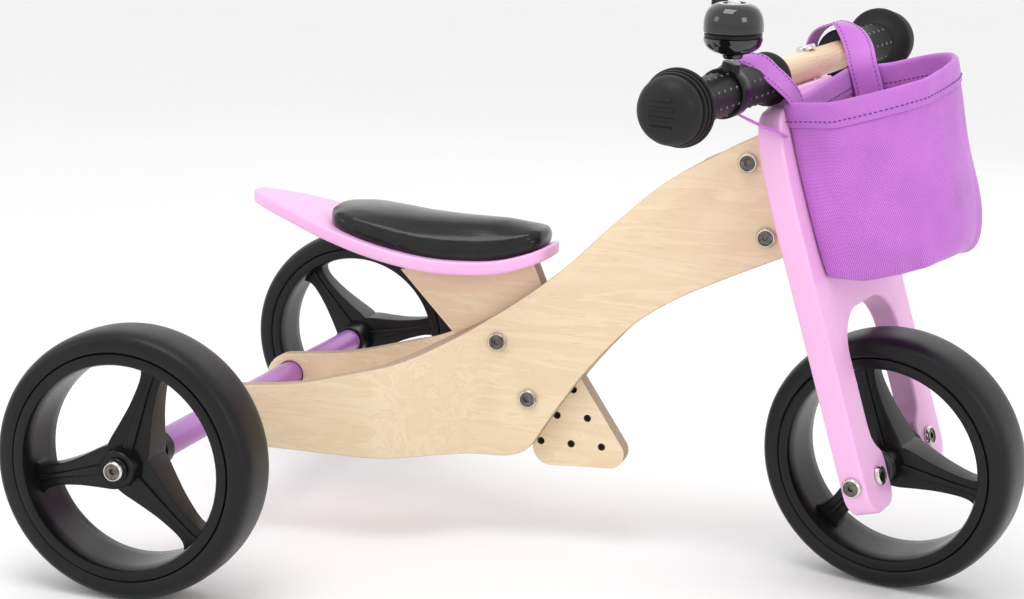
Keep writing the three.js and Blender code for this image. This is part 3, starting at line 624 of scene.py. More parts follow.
# ---- Rear axle ----
# A steel rod inside a lilac-painted tube that passes through both panels. A black collar on each
# side stops the wheel, and a bolt with a washer in the rod's end keeps it on.
WHEEL_Z = 100.0
TRACK_HALF = 240.5
HUB_HALF = 27.0
ROD_R, ROD_BORE, BOLT_BORE = 5, 5.3, 3.3
hub_in, hub_out = TRACK_HALF - HUB_HALF, TRACK_HALF + HUB_HALF
axle_at = Matrix.Translation((0, 0, WHEEL_Z)) @ ALONG_Y


def ring(inner, outer, low, high, ease=0.5):
    """The section of a ring about Z, for turned(): its outer corners are eased, its bore is plain."""
    return [(inner, low), (outer - ease, low), (outer, low + ease), (outer, high - ease),
            (outer - ease, high), (inner, high), (inner, low)]


def outward(at, hand):
    """The given placing with its Z towards the left side, or the same turned towards the right."""
    return at if hand > 0 else at @ FLIP


def axle_rod(half, bore):
    """A rod of the given half length with a bore in each end for its bolt."""
    end = [(0, half - bore), (BOLT_BORE, half - bore), (BOLT_BORE, half), (ROD_R, half)]
    return turned([(r, -h) for r, h in end] + end[::-1])


lilac = painted("lilac_paint", (0.42, 0.16, 0.50), (0.36, 0.13, 0.44), 0.3)
piece("axle_tube_painted", placed(turned(ring(ROD_BORE, 11, -199.8, 199.8)), axle_at), lilac, "frame",
      "lilac_painted_metal", "axle_tube")
zinc = mottled("zinc_plate", 0.34, 300.0, (0.5, 0.5, 0.5), (0.64, 0.64, 0.63), 1.0)
piece("rear_axle_rod", placed(axle_rod(hub_out, 22), axle_at), zinc, "frame", "steel", "rear_axle")


def moulded(name, low, high, roughness, grain=500.0, depth=0.00015):
    """Black moulded plastic or rubber: a fine spark-eroded grain and a slightly uneven gloss."""
    material, tree, shader = new_material(name, roughness, Specular_IOR_Level=0.26)
    coords = own_coordinates(tree)
    cloud = speckle(tree, coords, 14.0, 4.0)
    tint(tree, shader, "Base Color", cloud, (0.3, low), (0.7, high))
    gloss = [(value,) * 3 for value in (roughness - 0.06, roughness + 0.08)]
    tint(tree, shader, "Roughness", cloud, (0.35, gloss[0]), (0.7, gloss[1]))
    bump(tree, shader, speckle(tree, coords, grain, 3.0), 0.3, depth)
    return material


rim_plastic = moulded("black_nylon", (0.004, 0.004, 0.0045), (0.007, 0.007, 0.0075), 0.3)
foam = moulded("foam_rubber", (0.005, 0.005, 0.0055), (0.009, 0.009, 0.0095), 0.36, 900.0, 0.0004)
for side, hand in SIDES:
    facing = outward(axle_at, hand)
    collar = turned(ring(ROD_BORE, 14, hub_in - 13 - CLEAR, hub_in - CLEAR, 1.0))
    piece(f"axle_collar_{side}_ring", placed(collar, facing), rim_plastic, "frame", "black_plastic",
          f"axle_collar_{side}")
    washer = turned(ring(BOLT_BORE, 9, hub_out + CLEAR, hub_out + 3, 0.8))
    piece(f"hub_washer_{side}_disc", placed(washer, facing), rim_plastic, "frame", "black_plastic",
          f"hub_washer_{side}")
    bolt_piece(f"rear_wheel_bolt_{side}_screw", facing, hub_out + 3 + CLEAR, hub_out - 20, "frame",
               f"rear_wheel_bolt_{side}")

# ---- Wheels ----
# One-piece moulded nylon rims with three ribbed spokes, each with a solid ring of foam rubber pushed
# on as its tyre. Two steel bushes in every hub run on the axle.
RIM_R, RIM_BORE = 83.85, 75.0
rim_half = [(RIM_BORE, 0), (RIM_BORE - 0.4, 12), (RIM_BORE + 0.2, 22.5), (RIM_BORE + 1.2, 24.6),
            (RIM_BORE + 2.2, 25), (RIM_R - 1.6, 25), (RIM_R - 0.5, 24.6), (RIM_R, 23.6), (RIM_R, 0)]
tyre_half = [(RIM_R + 0.3, 0), (RIM_R + 0.3, 23.4), (RIM_R + 1.0, 24.6), (RIM_R + 2.4, 25), (90.5, 25),
             (91.4, 24.6), (92.6, 24.7), (95.0, 23.6), (97.0, 21.4), (98.5, 18.0), (99.4, 13.5),
             (99.85, 8.0), (100, 0)]


def whole_section(half):
    return half + [(r, -h) for r, h in reversed(half)][1:-1] + [half[0]]


def spoke_shape():
    """One spoke along X: a web that is widest and deepest at the hub, with a rib down its middle."""
    side = spline([(8, 16.5), (15, 15.8), (28, 12.6), (42, 9.6), (56, 7.9), (65, 7.9), (71, 9.6),
                   (75.6, 14)], 4)
    outline = side + [(x, -z) for x, z in reversed(side)]
    web = flat_board(outline, -9, 9, edge=3.0, segments=4)
    rib_side = spline([(8, 4.4), (30, 3.2), (55, 2.2), (68, 2.4), (75.2, 3.6)], 4)
    rib = flat_board(rib_side + [(x, -z) for x, z in reversed(rib_side)], -11, 11, edge=1.4, segments=4)
    for v in web.verts[:] + rib.verts[:]:
        v.co.y *= 0.86 + 0.85 * max(0.0, (66 - v.co.x) / 58)
    return merged([(web, AS_DRAWN), (rib, AS_DRAWN)])


def wheel(name, body, centre, first_angle, place):
    """A rim with its tyre and bushes; the first spoke points first_angle degrees up from X."""
    shapes = [(turned(whole_section(rim_half), 120), ALONG_Y)]
    hub = [(8.4, -27), (12.4, -27), (13.2, -26.2), (13.9, -18), (15.6, -14), (16.6, -11), (17, 0), (16.6, 11),
           (15.6, 14), (13.9, 18), (13.2, 26.2), (12.4, 27), (8.4, 27), (8.4, -27)]
    shapes.append((turned(hub, 64), ALONG_Y))
    for n in range(3):
        shapes.append((spoke_shape(), Matrix.Rotation(-math.radians(first_angle + 120 * n), 4, "Y")))
    at = Matrix.Translation(centre)
    piece(f"{name}_rim_moulding", placed(merged(shapes), at), rim_plastic, body, "black_plastic",
          f"{name}_rim", place=place, angle=40)
    piece(f"{name}_tyre_ring", placed(turned(whole_section(tyre_half), 160), at @ ALONG_Y), foam, body,
          "foam_tyre", f"{name}_tyre", place=place, angle=50)
    for side, hand in SIDES:
        bush = turned(ring(ROD_BORE, 8, HUB_HALF - 11.7, HUB_HALF, 0.4))
        piece(f"{name}_bush_{side}_sleeve", placed(bush, outward(at @ ALONG_Y, hand)), zinc, body, "steel",
              f"{name}_bush_{side}", place=place)


wheel("rear_wheel_left", "rear_wheel_left", (0, TRACK_HALF, WHEEL_Z), 132, FRAME)
wheel("rear_wheel_right", "rear_wheel_right", (0, -TRACK_HALF, WHEEL_Z), 75, FRAME)

# ---- Fork board ----
# One thick board with an arch cut out for the wheel, rounded by a router all round and painted satin
# pink. Everything steered is drawn with X ahead of the steering pin, Y to its left, Z up along it.
STEER = (FRAME @ Matrix.Translation((steer_foot_x * MM, 0, foot_z * MM))
         @ Matrix.Rotation(-STEER_TILT, 4, "Y") @ Matrix.Rotation(STEER_REST, 4, "Z"))
FORK_BACK, FORK_FRONT = 12.5, 32.5
FORK_HALF = 79.0
BAR_F, BAR_U, BAR_R = 19.0, 304.6, 11.3
leg = [(0, 293), (39.5, 293)]
leg += spline([(40.5, 285), (48, 283), (58, 280.5), (67, 272), (74, 254), (77.5, 232), (FORK_HALF, 204)], 4)
leg += arc(FORK_HALF - 20, -6, 20, 0, -90) + arc(45.5, -14, 12, -90, -180, 6)
leg += spline([(33.5, 9), (35.5, 15.5), (42, 22), (46, 29), (47.5, 39)], 4)
leg += arc(15.5, 90.5, 32, 0, 90, 10) + [(0, 122.5)]
fork_outline = leg + [(-x, z) for x, z in reversed(leg[1:-1])]
bm = flat_board(fork_outline, -FORK_FRONT, -FORK_BACK, edge=2.6, segments=5)
piece("fork_board_painted", bm, pink_paint, "steering", "pink_painted_plywood", "fork_board",
      place=STEER @ Matrix.Rotation(math.radians(90), 4, "Z"), angle=50)

# ---- Steering lugs and pin ----
# Two pink blocks on the fork's back hold the pin that turns in the head block. The pin is a zinc
# plated bolt with its nut below.
LUG_H = 14
lug_outline = [(-12.2, -14), (-12.2, 14), (-2, 9.5)] + arc(0, 0, 9.5, 90, -90, 10) + [(-2, -9.5)]
for node, low in (("steering_lug_lower", 151.4), ("steering_lug_upper", 264.6)):
    block = flat_board([(-x, y) for x, y in lug_outline][::-1], -low - LUG_H, -low, edge=1.0)
    piece(f"{node}_block", block, pink_paint, "steering", "pink_painted_plywood", node,
          place=STEER @ Matrix.Rotation(math.radians(-90), 4, "X"))
PIN_TOP = 278.9
pin = turned([(0, 143.4), (3.5, 143.4), (4, 144), (4, PIN_TOP), (7, PIN_TOP), (7, PIN_TOP + 3.6),
              (5.6, PIN_TOP + 5), (0, PIN_TOP + 5.2)])
piece("steering_pin_bolt", pin, zinc, "steering", "steel", "steering_pin", place=STEER)
nut = turned([(4.3, 145.4), (7, 145.4), (7, 151.1), (4.3, 151.1), (4.3, 145.4)], 6)
piece("steering_pin_hex_nut", nut, zinc, "steering", "steel", "steering_pin_nut", place=STEER, angle=30)

# ---- Front wheel and its axle ----
# The same wheel on a short rod across the fork's legs, with grey spacers beside the hub. A bolt goes
# into each end of the rod, and a cross screw in each leg's front locks it.
LOCK_SCREW_Y = 52
wheel("front_wheel", "front_wheel", (LEAD, 0, 0), 92, STEER)
front_at = Matrix.Translation((LEAD, 0, 0)) @ ALONG_Y
spacer_plastic = moulded("grey_nylon", (0.035, 0.036, 0.038), (0.05, 0.051, 0.053), 0.5)
piece("front_axle_rod", placed(axle_rod(78, 18), front_at), zinc, "steering", "steel", "front_axle",
      place=STEER)
for side, hand in SIDES:
    facing = outward(front_at, hand)
    spacer = turned(ring(ROD_BORE, 13, HUB_HALF + CLEAR, 33.2, 0.8))
    piece(f"front_spacer_{side}_ring", placed(spacer, facing), spacer_plastic, "steering", "grey_plastic",
          f"front_spacer_{side}", place=STEER)
    bolt_piece(f"front_axle_bolt_{side}_screw", facing, FORK_HALF + CLEAR, FORK_HALF - 16, "steering",
               f"front_axle_bolt_{side}", STEER)
    ahead = Matrix.Translation((0, hand * LOCK_SCREW_Y, 0)) @ Matrix.Rotation(math.radians(90), 4, "Y")
    bolt_piece(f"axle_lock_screw_{side}_bolt", ahead, FORK_FRONT + CLEAR, LEAD + 5.4, "steering",
               f"axle_lock_screw_{side}", STEER)

# ---- Handlebar ----
# A turned beech-coloured birch dowel, varnished, lying on top of the fork and held by two bolts that
# go down into it.
BAR_HALF = 178.0
bar_at = Matrix.Translation((BAR_F, 0, BAR_U))
varnished = birch("birch_dowel", STEER, (150, 5, 150), (0.86, 0.66, 0.44), (0.56, 0.33, 0.17))
dowel = turned([(0, -BAR_HALF), (BAR_R, -BAR_HALF), (BAR_R, BAR_HALF), (0, BAR_HALF)], 64)
piece("handlebar_dowel", placed(dowel, bar_at @ ALONG_Y), varnished, "steering", "birch_plywood",
      "handlebar", place=STEER)
for side, hand in SIDES:
    bolt_piece(f"handlebar_bolt_{side}_screw", Matrix.Translation((BAR_F, hand * 34, BAR_U)), BAR_R + CLEAR,
               -50, "steering", f"handlebar_bolt_{side}", STEER)

# ---- Grips ----
# Soft black rubber sleeves with rows of raised dots, coloured light grey as a painted highlight. Each ends
# in a flange, a stack of thin rings and a domed cap with four raised bars.
GRIP_R = 15.5
grip_rubber = moulded("grip_rubber", (0.008, 0.008, 0.0085), (0.014, 0.014, 0.0145), 0.5, 700.0, 0.0002)
# The dots are coloured light grey instead of the sleeve's black: a painted highlight on the raised rubber.
dot_highlight_rubber = moulded("grip_dots_painted_highlight", (0.14, 0.14, 0.143), (0.2, 0.2, 0.203), 0.42, 700.0, 0.0001)
CAP = ((28.2, 0.0), (28.5, 0.6), (28.5, 2.2), (27.9, 3.0), (24.4, 3.4), (24.4, 4.4), (27.0, 4.8), (27.3, 5.6),
       (27.0, 7.0), (23.6, 7.6), (23.6, 8.6), (26.1, 9.0), (26.4, 10.0), (26.0, 11.4), (22.6, 12.0),
       (22.6, 13.0), (24.8, 13.5), (24.9, 15.0), (24.4, 18.5), (22.8, 22.5), (20.0, 26.2), (16.0, 29.0),
       (10.5, 30.9), (5.0, 31.8), (0.0, 32.0))
CAP_H = CAP[-1][1]
cap_dome = CAP[:16:-1]
DOT_PITCH = 9.6

for side, hand, inner, flange, tip in (("left", 1, 92.0, 174.0, 206.0), ("right", -1, 43.0, 185.0, 214.0)):
    squat = (tip - flange) / CAP_H
    profile = [(11.6, inner), (18.4, inner), (19.6, inner + 0.8), (20, inner + 2), (20, inner + 4.4),
               (19.2, inner + 6), (17.2, inner + 8.4), (GRIP_R + 0.4, inner + 11), (GRIP_R, inner + 14),
               (GRIP_R, flange - 6), (17, flange - 4.2), (22, flange - 2.6), (26.6, flange - 1.2)]
    profile += [(r * 0.965, flange + h * squat) for r, h in CAP]
    profile += [(0, BAR_HALF + CLEAR), (11.6, BAR_HALF + CLEAR), (11.6, inner)]
    facing = outward(bar_at @ ALONG_Y, hand)
    shapes = [(turned(profile, 96), AS_DRAWN)]
    for n in range(4):
        across = (n - 1.5) * 6.4
        reach = math.sqrt(15.0 ** 2 - across ** 2)
        bar_rib = bmesh.new()
        bmesh.ops.create_cube(bar_rib, size=1.0)
        bmesh.ops.subdivide_edges(bar_rib, edges=[e for e in bar_rib.edges
                                  if abs(e.verts[0].co.x - e.verts[1].co.x) > 0.5], cuts=8)
        for v in bar_rib.verts:
            x = v.co.x * 2 * reach * 0.7
            y = across + v.co.y * 1.7
            height = flange + squat * read_off(cap_dome, math.hypot(x, y))
            v.co = (x, y, height + (0.9 if v.co.z > 0 else -1.0))
        bmesh.ops.bevel(bar_rib, geom=bar_rib.edges[:], offset=0.35, affect="EDGES", segments=2, profile=0.5,
                        material=-1, clamp_overlap=True)
        shapes.append((bar_rib, Matrix.Rotation(math.radians(-18), 4, "Z")))
    piece(f"grip_{side}_sleeve", placed(merged(shapes), facing), grip_rubber, "steering", "grip_rubber",
          f"grip_{side}", place=STEER, angle=40)
    dots = []
    for row in range(8):
        for n in range(int((flange - inner - 30) / DOT_PITCH) + 1):
            dot = bmesh.new()
            bmesh.ops.create_icosphere(dot, subdivisions=2, radius=1.15)
            around = Matrix.Rotation(math.radians(row * 45 + 8), 4, "Z")
            spot = Matrix.Translation((GRIP_R, 0, flange - 12 - DOT_PITCH * n - (row % 2) * 3))
            dots.append((dot, facing @ around @ spot @ Matrix.Diagonal((0.5, 1, 1, 1))))
    piece(f"grip_{side}_dots", merged(dots), dot_highlight_rubber, "steering", "grip_rubber", place=STEER, angle=60)

# ---- Bell ----
# A small thumb bell of glossy black plastic on a clamp round the right-hand grip: a bowl, a lever
# ring in the seam, and a dome with a dished top held by one screw.
BELL_L = -115.0
gloss_black = mottled("gloss_black", 0.08, 90.0, (0.004, 0.004, 0.0045), (0.007, 0.007, 0.0075),
                      Coat_Weight=0.6, Coat_Roughness=0.04)
band = turned([(15.8, -7), (17.6, -7), (18.1, -6.2), (18.1, 6.2), (17.6, 7), (15.8, 7), (15.8, -7)], 64)
post = turned([(0, 16.6), (7.6, 16.6), (6.8, 18), (6.5, 21.6), (6.0, 22.4), (0, 22.4)])
ear = flat_board([(-4, 15.9), (4, 15.9), (4, 23.5), (2.4, 25), (-2.4, 25), (-4, 23.5)], -6.5, 6.5, edge=0.8)
ear_turn = Matrix.Rotation(math.radians(-70), 4, "Y")
screw = turned([(0, -6), (2.6, -6), (2.9, -5.4), (2.9, 5.4), (2.6, 6), (0, 6)])
screw_turn = ear_turn @ Matrix.Translation((0, 0, 20.5)) @ Matrix.Rotation(math.radians(90), 4, "Y")
clamp = merged([(band, ALONG_Y), (post, Matrix.Rotation(math.radians(30), 4, "Y")), (ear, ear_turn),
                (screw, screw_turn)])
piece("bell_clamp_band", placed(clamp, Matrix.Translation((BAR_F, BELL_L, BAR_U))), rim_plastic,
      "steering", "black_plastic", "bell_clamp", place=STEER)
BELL_OFFSET = 24.5
bell_foot = Vector((BAR_F + BELL_OFFSET * 0.5, BELL_L, BAR_U + BELL_OFFSET * math.cos(math.radians(30))))
BELL = STEER @ Matrix.Translation(bell_foot * MM) @ Matrix.Rotation(STEER_TILT, 4, "Y")
bowl = turned([(0, 0.8), (6.4, 0.8), (7.0, 1.6), (7.6, 3.4), (10.0, 4.4), (14.0, 5.6), (17.4, 7.6),
               (19.7, 10.4), (20.7, 13.2), (21, 15.9), (5.5, 15.9), (5.5, 18), (2.5, 18), (2.5, 36),
               (0, 36)], 96)
piece("bell_base_bowl", bowl, gloss_black, "steering", "gloss_black_plastic", "bell_base", place=BELL)
dome = turned([(2.8, 36.2), (13.5, 36.2), (16.5, 33.2), (18.6, 29), (19.6, 20), (20.4, 19.4), (21, 20),
               (21, 25.5), (20.6, 29.3), (19.6, 32.6), (17.9, 35.6), (15.4, 37.9), (12.2, 39.4),
               (9.2, 39.9), (8.2, 39.6), (7.6, 38.6), (6.6, 38.1), (2.8, 38), (2.8, 36.2)], 96)
piece("bell_dome_cap", dome, gloss_black, "steering", "gloss_black_plastic", "bell_dome", place=BELL)
piece("bell_top_screw", turned([(0, 36.3), (2.3, 36.3), (2.3, 38.3), (4.9, 38.3), (5, 38.9), (4.3, 40.1),
      (2.6, 40.8), (0, 41.1)]), nickel, "steering", "bright_metal", "bell_screw", place=BELL)
lever_disc = turned([(5.8, 16.4), (20.2, 16.4), (20.4, 17.2), (20.2, 18.9), (5.8, 18.9), (5.8, 16.4)], 64)
lever_pad = flat_board([(-25.4, 16.6), (-19, 16.6), (-19, 18.4), (-22.4, 20.4), (-22.6, 38), (-23.4, 39.6),
                        (-25, 39.6), (-25.9, 38), (-25.9, 18)], -6, 6, edge=0.7)
lever = merged([(lever_disc, AS_DRAWN), (lever_pad, Matrix.Rotation(math.radians(-40), 4, "Z"))])
piece("bell_lever_thumb", lever, rim_plastic, "bell_lever", "black_plastic", "bell_lever", place=BELL)

# ---- Bag ----
# A soft bag of woven polyester twill, with a lighter lining, a wide turned hem sewn with violet
# thread, and tucks that shape its bottom. It hangs from the bar in front of the fork.
BAG_BACK, BAG_MIDDLE = 34.0, 75
BAG_LOW, BAG_HIGH = 145, 276
BACK_SHARE = 0.3
RIM_COLUMNS = 96
bag_rows = [(145, 60, 62, 112), (147.5, 64, 66, 118), (152, 66, 69, 122), (160, 67.5, 71, 125),
            (172, 68.5, 73, 127.5), (185, 69, 74, 129), (200, 69, 74, 129.5), (215, 68.5, 73.5, 130),
            (228, 68, 73, 131), (240, 67, 72.5, 132.5), (252, 65.5, 72, 134.5), (262, 64.5, 72, 136),
            (270, 63.5, 72, 137.5), (276, 63, 72, 138)]


def bag_point(column, row):
    """A point of the bag's wall; columns run round it from the middle of the straight back."""
    up, near, far, front = row
    turn = column / RIM_COLUMNS
    if turn < BACK_SHARE / 2 or turn > 1 - BACK_SHARE / 2:
        walk = (turn if turn < 0.5 else turn - 1) / (BACK_SHARE / 2)
        x, y = BAG_BACK, -0.94 * walk * (near if walk > 0 else far)
    else:
        phi = math.radians(-90 + 180 * (turn - BACK_SHARE / 2) / (1 - BACK_SHARE))
        x = BAG_BACK + (front - BAG_BACK) * max(0.0, math.cos(phi)) ** 0.58
        y = math.copysign(abs(math.sin(phi)) ** 0.8, math.sin(phi)) * (far if phi > 0 else near)
        y *= 1 - 0.06 * abs(math.sin(phi)) ** 12
    high = (up - BAG_LOW) / (BAG_HIGH - BAG_LOW)
    rise = max(0.0, 4 + 0.125 * y)
    rise += max(0.0, (70 - x) / 36) * (7.5 - rise * 0.25)
    z = up + rise * high + 6.5 * (1 - high) * max(0.0, (60 - x) / 26)
    z -= 6.0 * max(0.0, 1 - high * 1.6) * math.exp(-((x - 112) ** 2 + (y - 44) ** 2) / 900)
    sway = Vector((x * 0.02, y * 0.02, up * 0.008))
    soft = noise.noise(sway + Vector((3.1, 0.7, 5.2))) * 4.0 + noise.noise(sway * 2.7) * 1.8
    soft *= min(1.0, (BAG_HIGH - up) / 30 + 0.12) * min(1.0, max(0.0, (x - BAG_BACK) / 12))
    outward = Vector((x - BAG_MIDDLE, y, 0)).normalized()
    for tuck_x, tuck_y in ((101, -52), (116, 38)):
        near_tuck = math.hypot(x - tuck_x, y - tuck_y)
        soft -= 5.0 * math.exp(-(near_tuck / 5.0) ** 2) * max(0.0, 1 - high * 3.4)
        soft += 2.0 * math.exp(-((near_tuck - 11) / 6) ** 2) * max(0.0, 1 - high * 2.2)
    soft -= 1.5 * math.exp(-(((y + 18 + (BAG_HIGH - up) * 0.25) / 9) ** 2)) * min(1.0, high * 3) * (x > 60)
    return Vector((x, y, z)) + outward * soft


def woven(name, dark, light, place, thread=2100.0, sheen=0.35, mottle=(0.9, 1.08)):
    """Twill: fine diagonal ribs made of two threads, a soft fuzz of sheen and slight fading."""
    material, tree, shader = new_material(name, 0.78, Sheen_Weight=sheen, Sheen_Roughness=0.4)
    uv = add_node(tree, "ShaderNodeUVMap", uv_map="cloth").outputs["UV"]
    twill_turn = {"Vector": uv, "Rotation": (0, 0, math.radians(38))}
    slant = add_node(tree, "ShaderNodeMapping", twill_turn).outputs["Vector"]
    rib_values = {"Vector": slant, "Scale": thread * 0.155, "Distortion": 0.6, "Detail": 1.0,
                  "Detail Scale": 2.0}
    ribs = add_node(tree, "ShaderNodeTexWave", rib_values, wave_type="BANDS",
                    bands_direction="X").outputs["Fac"]
    cross = add_node(tree, "ShaderNodeTexWave", {"Vector": uv, "Scale": thread * 0.2, "Distortion": 0.4},
                     wave_type="BANDS", bands_direction="Y").outputs["Fac"]
    weave = add_node(tree, "ShaderNodeMath", {0: ribs, 1: cross}, operation="MULTIPLY").outputs[0]
    broad = speckle(tree, own_coordinates(tree, place), 24.0, 4.0)
    tone = ramp(tree, weave, (0.0, dark), (0.5, light))
    fade = ramp(tree, broad, (0.3, (mottle[0],) * 3), (0.7, (mottle[1],) * 3))
    tree.links.new(darkened(tree, tone, fade, 1.0), shader.inputs["Base Color"])
    bump(tree, shader, weave, 0.5, 0.0004)
    return material


bag_twill = woven("purple_twill", (0.40, 0.10, 0.50), (0.72, 0.26, 0.78), STEER, 1500.0)
lining = woven("bag_lining", (0.48, 0.10, 0.44), (0.72, 0.22, 0.64), STEER, 1300.0, 0.2)
strap_twill = woven("strap_twill", (0.42, 0.105, 0.52), (0.73, 0.27, 0.79), STEER, 1900.0)
thread_violet = mottled("violet_thread", 0.7, 1500.0, (0.03, 0.012, 0.12), (0.08, 0.03, 0.22),
                        Sheen_Weight=0.2)


def cloth_uv(bm, across, along):
    """Writes the two cloth coordinates stored on the vertices, closing the seam where they wrap."""
    uv = bm.loops.layers.uv.new("cloth")
    for face in bm.faces:
        far = max(loop.vert[across] for loop in face.loops)
        for loop in face.loops:
            u = loop.vert[across]
            loop[uv].uv = (u + (0.46 if far - u > 0.2 else 0), loop.vert[along])


def rings_to_wall(rows_of_points, closed=True):
    """A wall made by extruding a first line of points row by row, with its two cloth coordinates."""
    bm = bmesh.new()
    across = bm.verts.layers.float.new("across")
    along = bm.verts.layers.float.new("along")
    line = [bm.verts.new(p) for p in rows_of_points[0]]
    edges = [bm.edges.new(pair) for pair in zip(line, line[1:] + line[:1] if closed else line[1:])]
    walked = 0.0
    for n, points in enumerate(rows_of_points):
        if n:
            made = bmesh.ops.extrude_edge_only(bm, edges=edges)["geom"]
            fresh = {v for v in made if isinstance(v, bmesh.types.BMVert)}
            edges = [e for e in made if isinstance(e, bmesh.types.BMEdge) and fresh.issuperset(e.verts)]
            line = [next(e.other_vert(v) for e in v.link_edges if e.other_vert(v) in fresh) for v in line]
            walked += (Vector(points[0]) - Vector(rows_of_points[n - 1][0])).length * MM
        span = 0.0
        for i, (v, p) in enumerate(zip(line, points)):
            span += (Vector(p) - Vector(points[i - 1])).length * MM if i else 0.0
            v.co = p
            v[across], v[along] = span, walked
    return bm, across, along


bm, across, along = rings_to_wall([[bag_point(c, row) for c in range(RIM_COLUMNS)] for row in bag_rows])
bottom = [e for e in bm.edges if e.is_boundary and all(v.co.z < BAG_LOW + 20 for v in e.verts)]
turned_in = bmesh.ops.extrude_edge_only(bm, edges=bottom)["geom"]
BOTTOM_SHRINK = 0.86
for v in [v for v in turned_in if isinstance(v, bmesh.types.BMVert)]:
    v.co.x = 74 + (v.co.x - 74) * BOTTOM_SHRINK
    v.co.y *= BOTTOM_SHRINK
    v.co.z += 1.6
    v[along] = -0.008
bottom = [e for e in turned_in if isinstance(e, bmesh.types.BMEdge) and e.is_boundary]
bmesh.ops.triangle_fill(bm, use_beauty=True, edges=bottom)
bmesh.ops.recalc_face_normals(bm, faces=bm.faces[:])
bag_centre = Vector((BAG_MIDDLE, 0, (BAG_LOW + BAG_HIGH) / 2))
if sum(f.normal.dot(f.calc_center_median() - bag_centre) for f in bm.faces) < 0:
    bmesh.ops.reverse_faces(bm, faces=bm.faces[:])
cloth_uv(bm, across, along)
bag = piece("bag_body", bm, [bag_twill, lining], "steering", "purple_fabric", "bag", place=STEER, angle=180)
wall = bag.modifiers.new("cloth", "SOLIDIFY")
wall.thickness = 1.6 * MM
wall.offset = -1.0
wall.material_offset = 1
rounded(bag)

HEM = 20.0
HEM_ROWS_H = bag_rows[-1][0] - bag_rows[-4][0]


def rim_frame(column):
    """The rim's point at a column, and the outward direction there."""
    here = bag_point(column, bag_rows[-1])
    run = bag_point(column + 1, bag_rows[-1]) - bag_point(column - 1, bag_rows[-1])
    out = Vector((run.y, -run.x, 0)).normalized()
    if out.dot(here - Vector((BAG_MIDDLE, 0, here.z))) < 0:
        out.negate()
    return here, out


def hem_row(out, down):
    """A line round the rim, out from the bag's wall and down from its edge."""
    share = down / HEM_ROWS_H
    level = tuple(a + (b - a) * (1 - share) for a, b in zip(bag_rows[-4], bag_rows[-1]))
    points = []
    for c in range(RIM_COLUMNS):
        here, side = rim_frame(c)
        spot = here.lerp(bag_point(c, level), share) if down > 0 else here - Vector((0, 0, down))
        puff = 0.35 * noise.noise(Vector((c * 0.9, down * 0.3, 1.7)))
        points.append(spot + side * (out + puff))
    return points


section = [(0.9, HEM), (1.5, HEM - 0.8), (1.4, HEM - 3.2), (1.9, 12), (1.9, 5), (1.6, 1), (0.5, -1.6),
           (-0.9, -2.0), (-2.3, -1.2), (-3.1, 1.5), (-3.3, 6), (-3.1, 12), (-2.7, HEM - 3.2),
           (-2.9, HEM - 0.8), (-2.2, HEM)]
bm, across, along = rings_to_wall([hem_row(out, down) for out, down in section])
bmesh.ops.recalc_face_normals(bm, faces=bm.faces[:])
top_face = max(bm.faces, key=lambda f: f.calc_center_median().z)
if top_face.normal.z < 0:
    bmesh.ops.reverse_faces(bm, faces=bm.faces[:])
cloth_uv(bm, across, along)
hem = piece("bag_hem", bm, strap_twill, "steering", "purple_fabric", place=STEER, angle=180)
rounded(hem)


def stitches(path, pitch=3.9, length=3.0, thick=0.95):
    """Short raised stitches laid end to end along a path, each a rounded grain of thread."""
    grains = []
    left = pitch / 2
    for a, b in zip(path, path[1:]):
        run = (b - a).length
        while left < run:
            at = a + (b - a) * (left / run)
            grain = bmesh.new()
            bmesh.ops.create_icosphere(grain, subdivisions=1, radius=0.5)
            aim = (b - a).to_track_quat("X", "Z").to_matrix().to_4x4()
            grains.append((grain, Matrix.Translation(at) @ aim @ Matrix.Diagonal((length, thick, thick, 1))))
            left += pitch
        left -= run
    return merged(grains)


seam_lines = [hem_row(out, HEM - 3.0) for out in (1.75, -3.15)]
sewing = merged([(stitches(line + line[:1]), AS_DRAWN) for line in seam_lines])
piece("bag_hem_stitches", sewing, thread_violet, "steering", "purple_fabric", place=STEER, angle=180)

# ---- Straps ----
# Two flat straps of the same twill, edge-stitched. Each loops loosely over a grip and is sewn to the
# bag's back corner, one end inside the rim and one behind it.
STRAP_W = 22.0


def strap_rows(path, width, rise=0.0, shift=0.0):
    """Points across a strap; each point of its path comes with the direction of its width."""
    rows = []
    for i, (p, side) in enumerate(path):
        tangent = (path[min(i + 1, len(path) - 1)][0] - path[max(i - 1, 0)][0]).normalized()
        up = tangent.cross(side).normalized()
        rows.append([p + side * (s * width / 2 + shift) + up * rise for s in (-1, -0.5, 0, 0.5, 1)])
    return rows


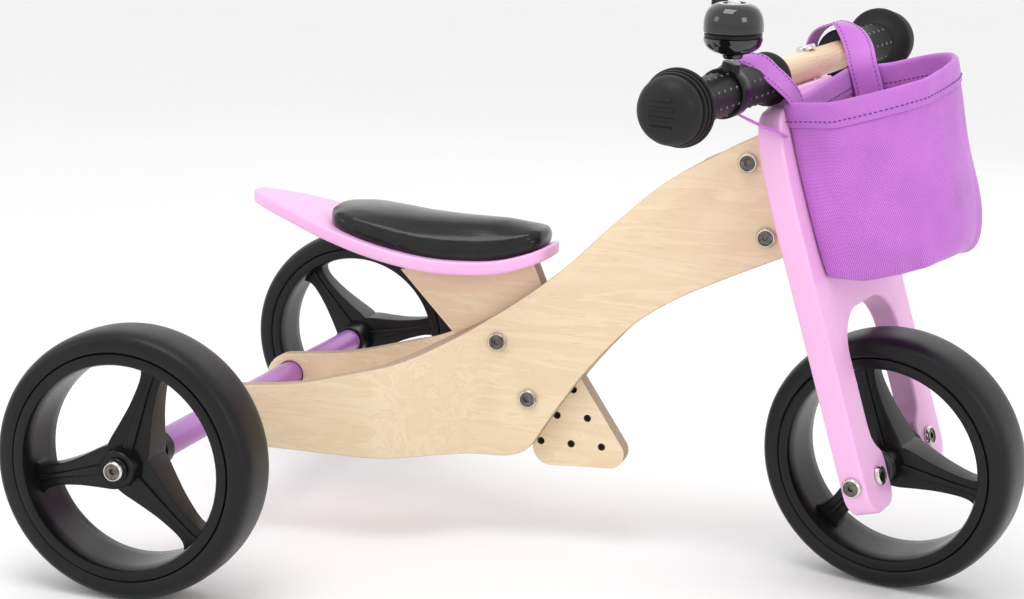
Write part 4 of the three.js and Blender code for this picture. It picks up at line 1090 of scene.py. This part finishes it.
EDGE_ON, LEVEL, OPEN, FACING = (-0.41, 0.9, -0.12), (0, 1, 0), (0.3, 0.94, 0.13), (0.98, 0.15, 0)
strap_paths = {
    "right": [((33, -63, 261), EDGE_ON), ((22, -73, 272), EDGE_ON), ((12, -80, 282), EDGE_ON),
              ((4, -84, 291), (-0.3, 0.95, -0.1)), ((0.5, -85, 302), LEVEL), ((3, -85, 314), LEVEL),
              ((10, -85, 321.5), (0.15, 0.98, 0)), ((20, -83, 324.5), OPEN), ((29, -76, 320.5), OPEN),
              ((35.5, -68, 308), (0.05, 0.93, 0.36)), ((38.5, -58, 297), (0.05, 0.95, 0.3)),
              ((39.2, -49, 287), (0.02, 0.98, 0.17)), ((39, -46.5, 276), LEVEL), ((38.6, -46, 262), LEVEL)],
    "left": [((33, 63, 262), EDGE_ON), ((21, 72, 272), EDGE_ON), ((8, 82, 281), EDGE_ON),
             ((-3, 90, 291), (-0.2, 0.97, -0.1)), ((-6, 95, 303), LEVEL), ((-3.5, 96, 318), LEVEL),
             ((6, 97, 327.5), (0.1, 0.99, 0)), ((20, 95, 329.5), (0.2, 0.97, 0)),
             ((30, 91, 326), (0.48, 0.84, -0.25)), ((37, 85, 318), (0.75, 0.62, -0.2)),
             ((43, 76, 308), (0.9, 0.4, -0.1)), ((47, 67, 301), (0.95, 0.25, 0)), ((49, 61.5, 293), FACING),
             ((50, 60, 282), FACING), ((50, 59.5, 268), FACING), ((50, 59, 250), FACING)],
}
for side, points in strap_paths.items():
    middle = spline([p for p, across in points], 4)
    widths = spline([across for p, across in points], 4)
    path = [(Vector(p), Vector(across).normalized()) for p, across in zip(middle, widths)]
    bm, across, along = rings_to_wall(strap_rows(path, STRAP_W), closed=False)
    bmesh.ops.recalc_face_normals(bm, faces=bm.faces[:])
    cloth_uv(bm, across, along)
    strap = piece(f"bag_strap_{side}_band", bm, strap_twill, "steering", "purple_fabric", f"bag_strap_{side}",
                  place=STEER, angle=180)
    thick = strap.modifiers.new("cloth", "SOLIDIFY")
    thick.thickness = 1.5 * MM
    thick.offset = 0.0
    ease = strap.modifiers.new("ease", "BEVEL")
    ease.width = 0.3 * MM
    ease.segments = 2
    length = sum((b[0] - a[0]).length for a, b in zip(path, path[1:])) * MM
    seams = []
    for shift in (-8.4, 8.4):
        for rise in (-0.85, 0.85):
            rows = strap_rows(path, 0.0, rise, shift)[len(path) * 2 // 5:]
            seams.append((stitches([row[2] for row in rows], 3.6, 2.7, 0.7), AS_DRAWN))
    piece(f"bag_strap_{side}_stitches", merged(seams), thread_violet, "steering", "purple_fabric",
          place=STEER, angle=180)

size = {"cad": cad_box, "visual": [list(corner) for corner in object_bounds()]}
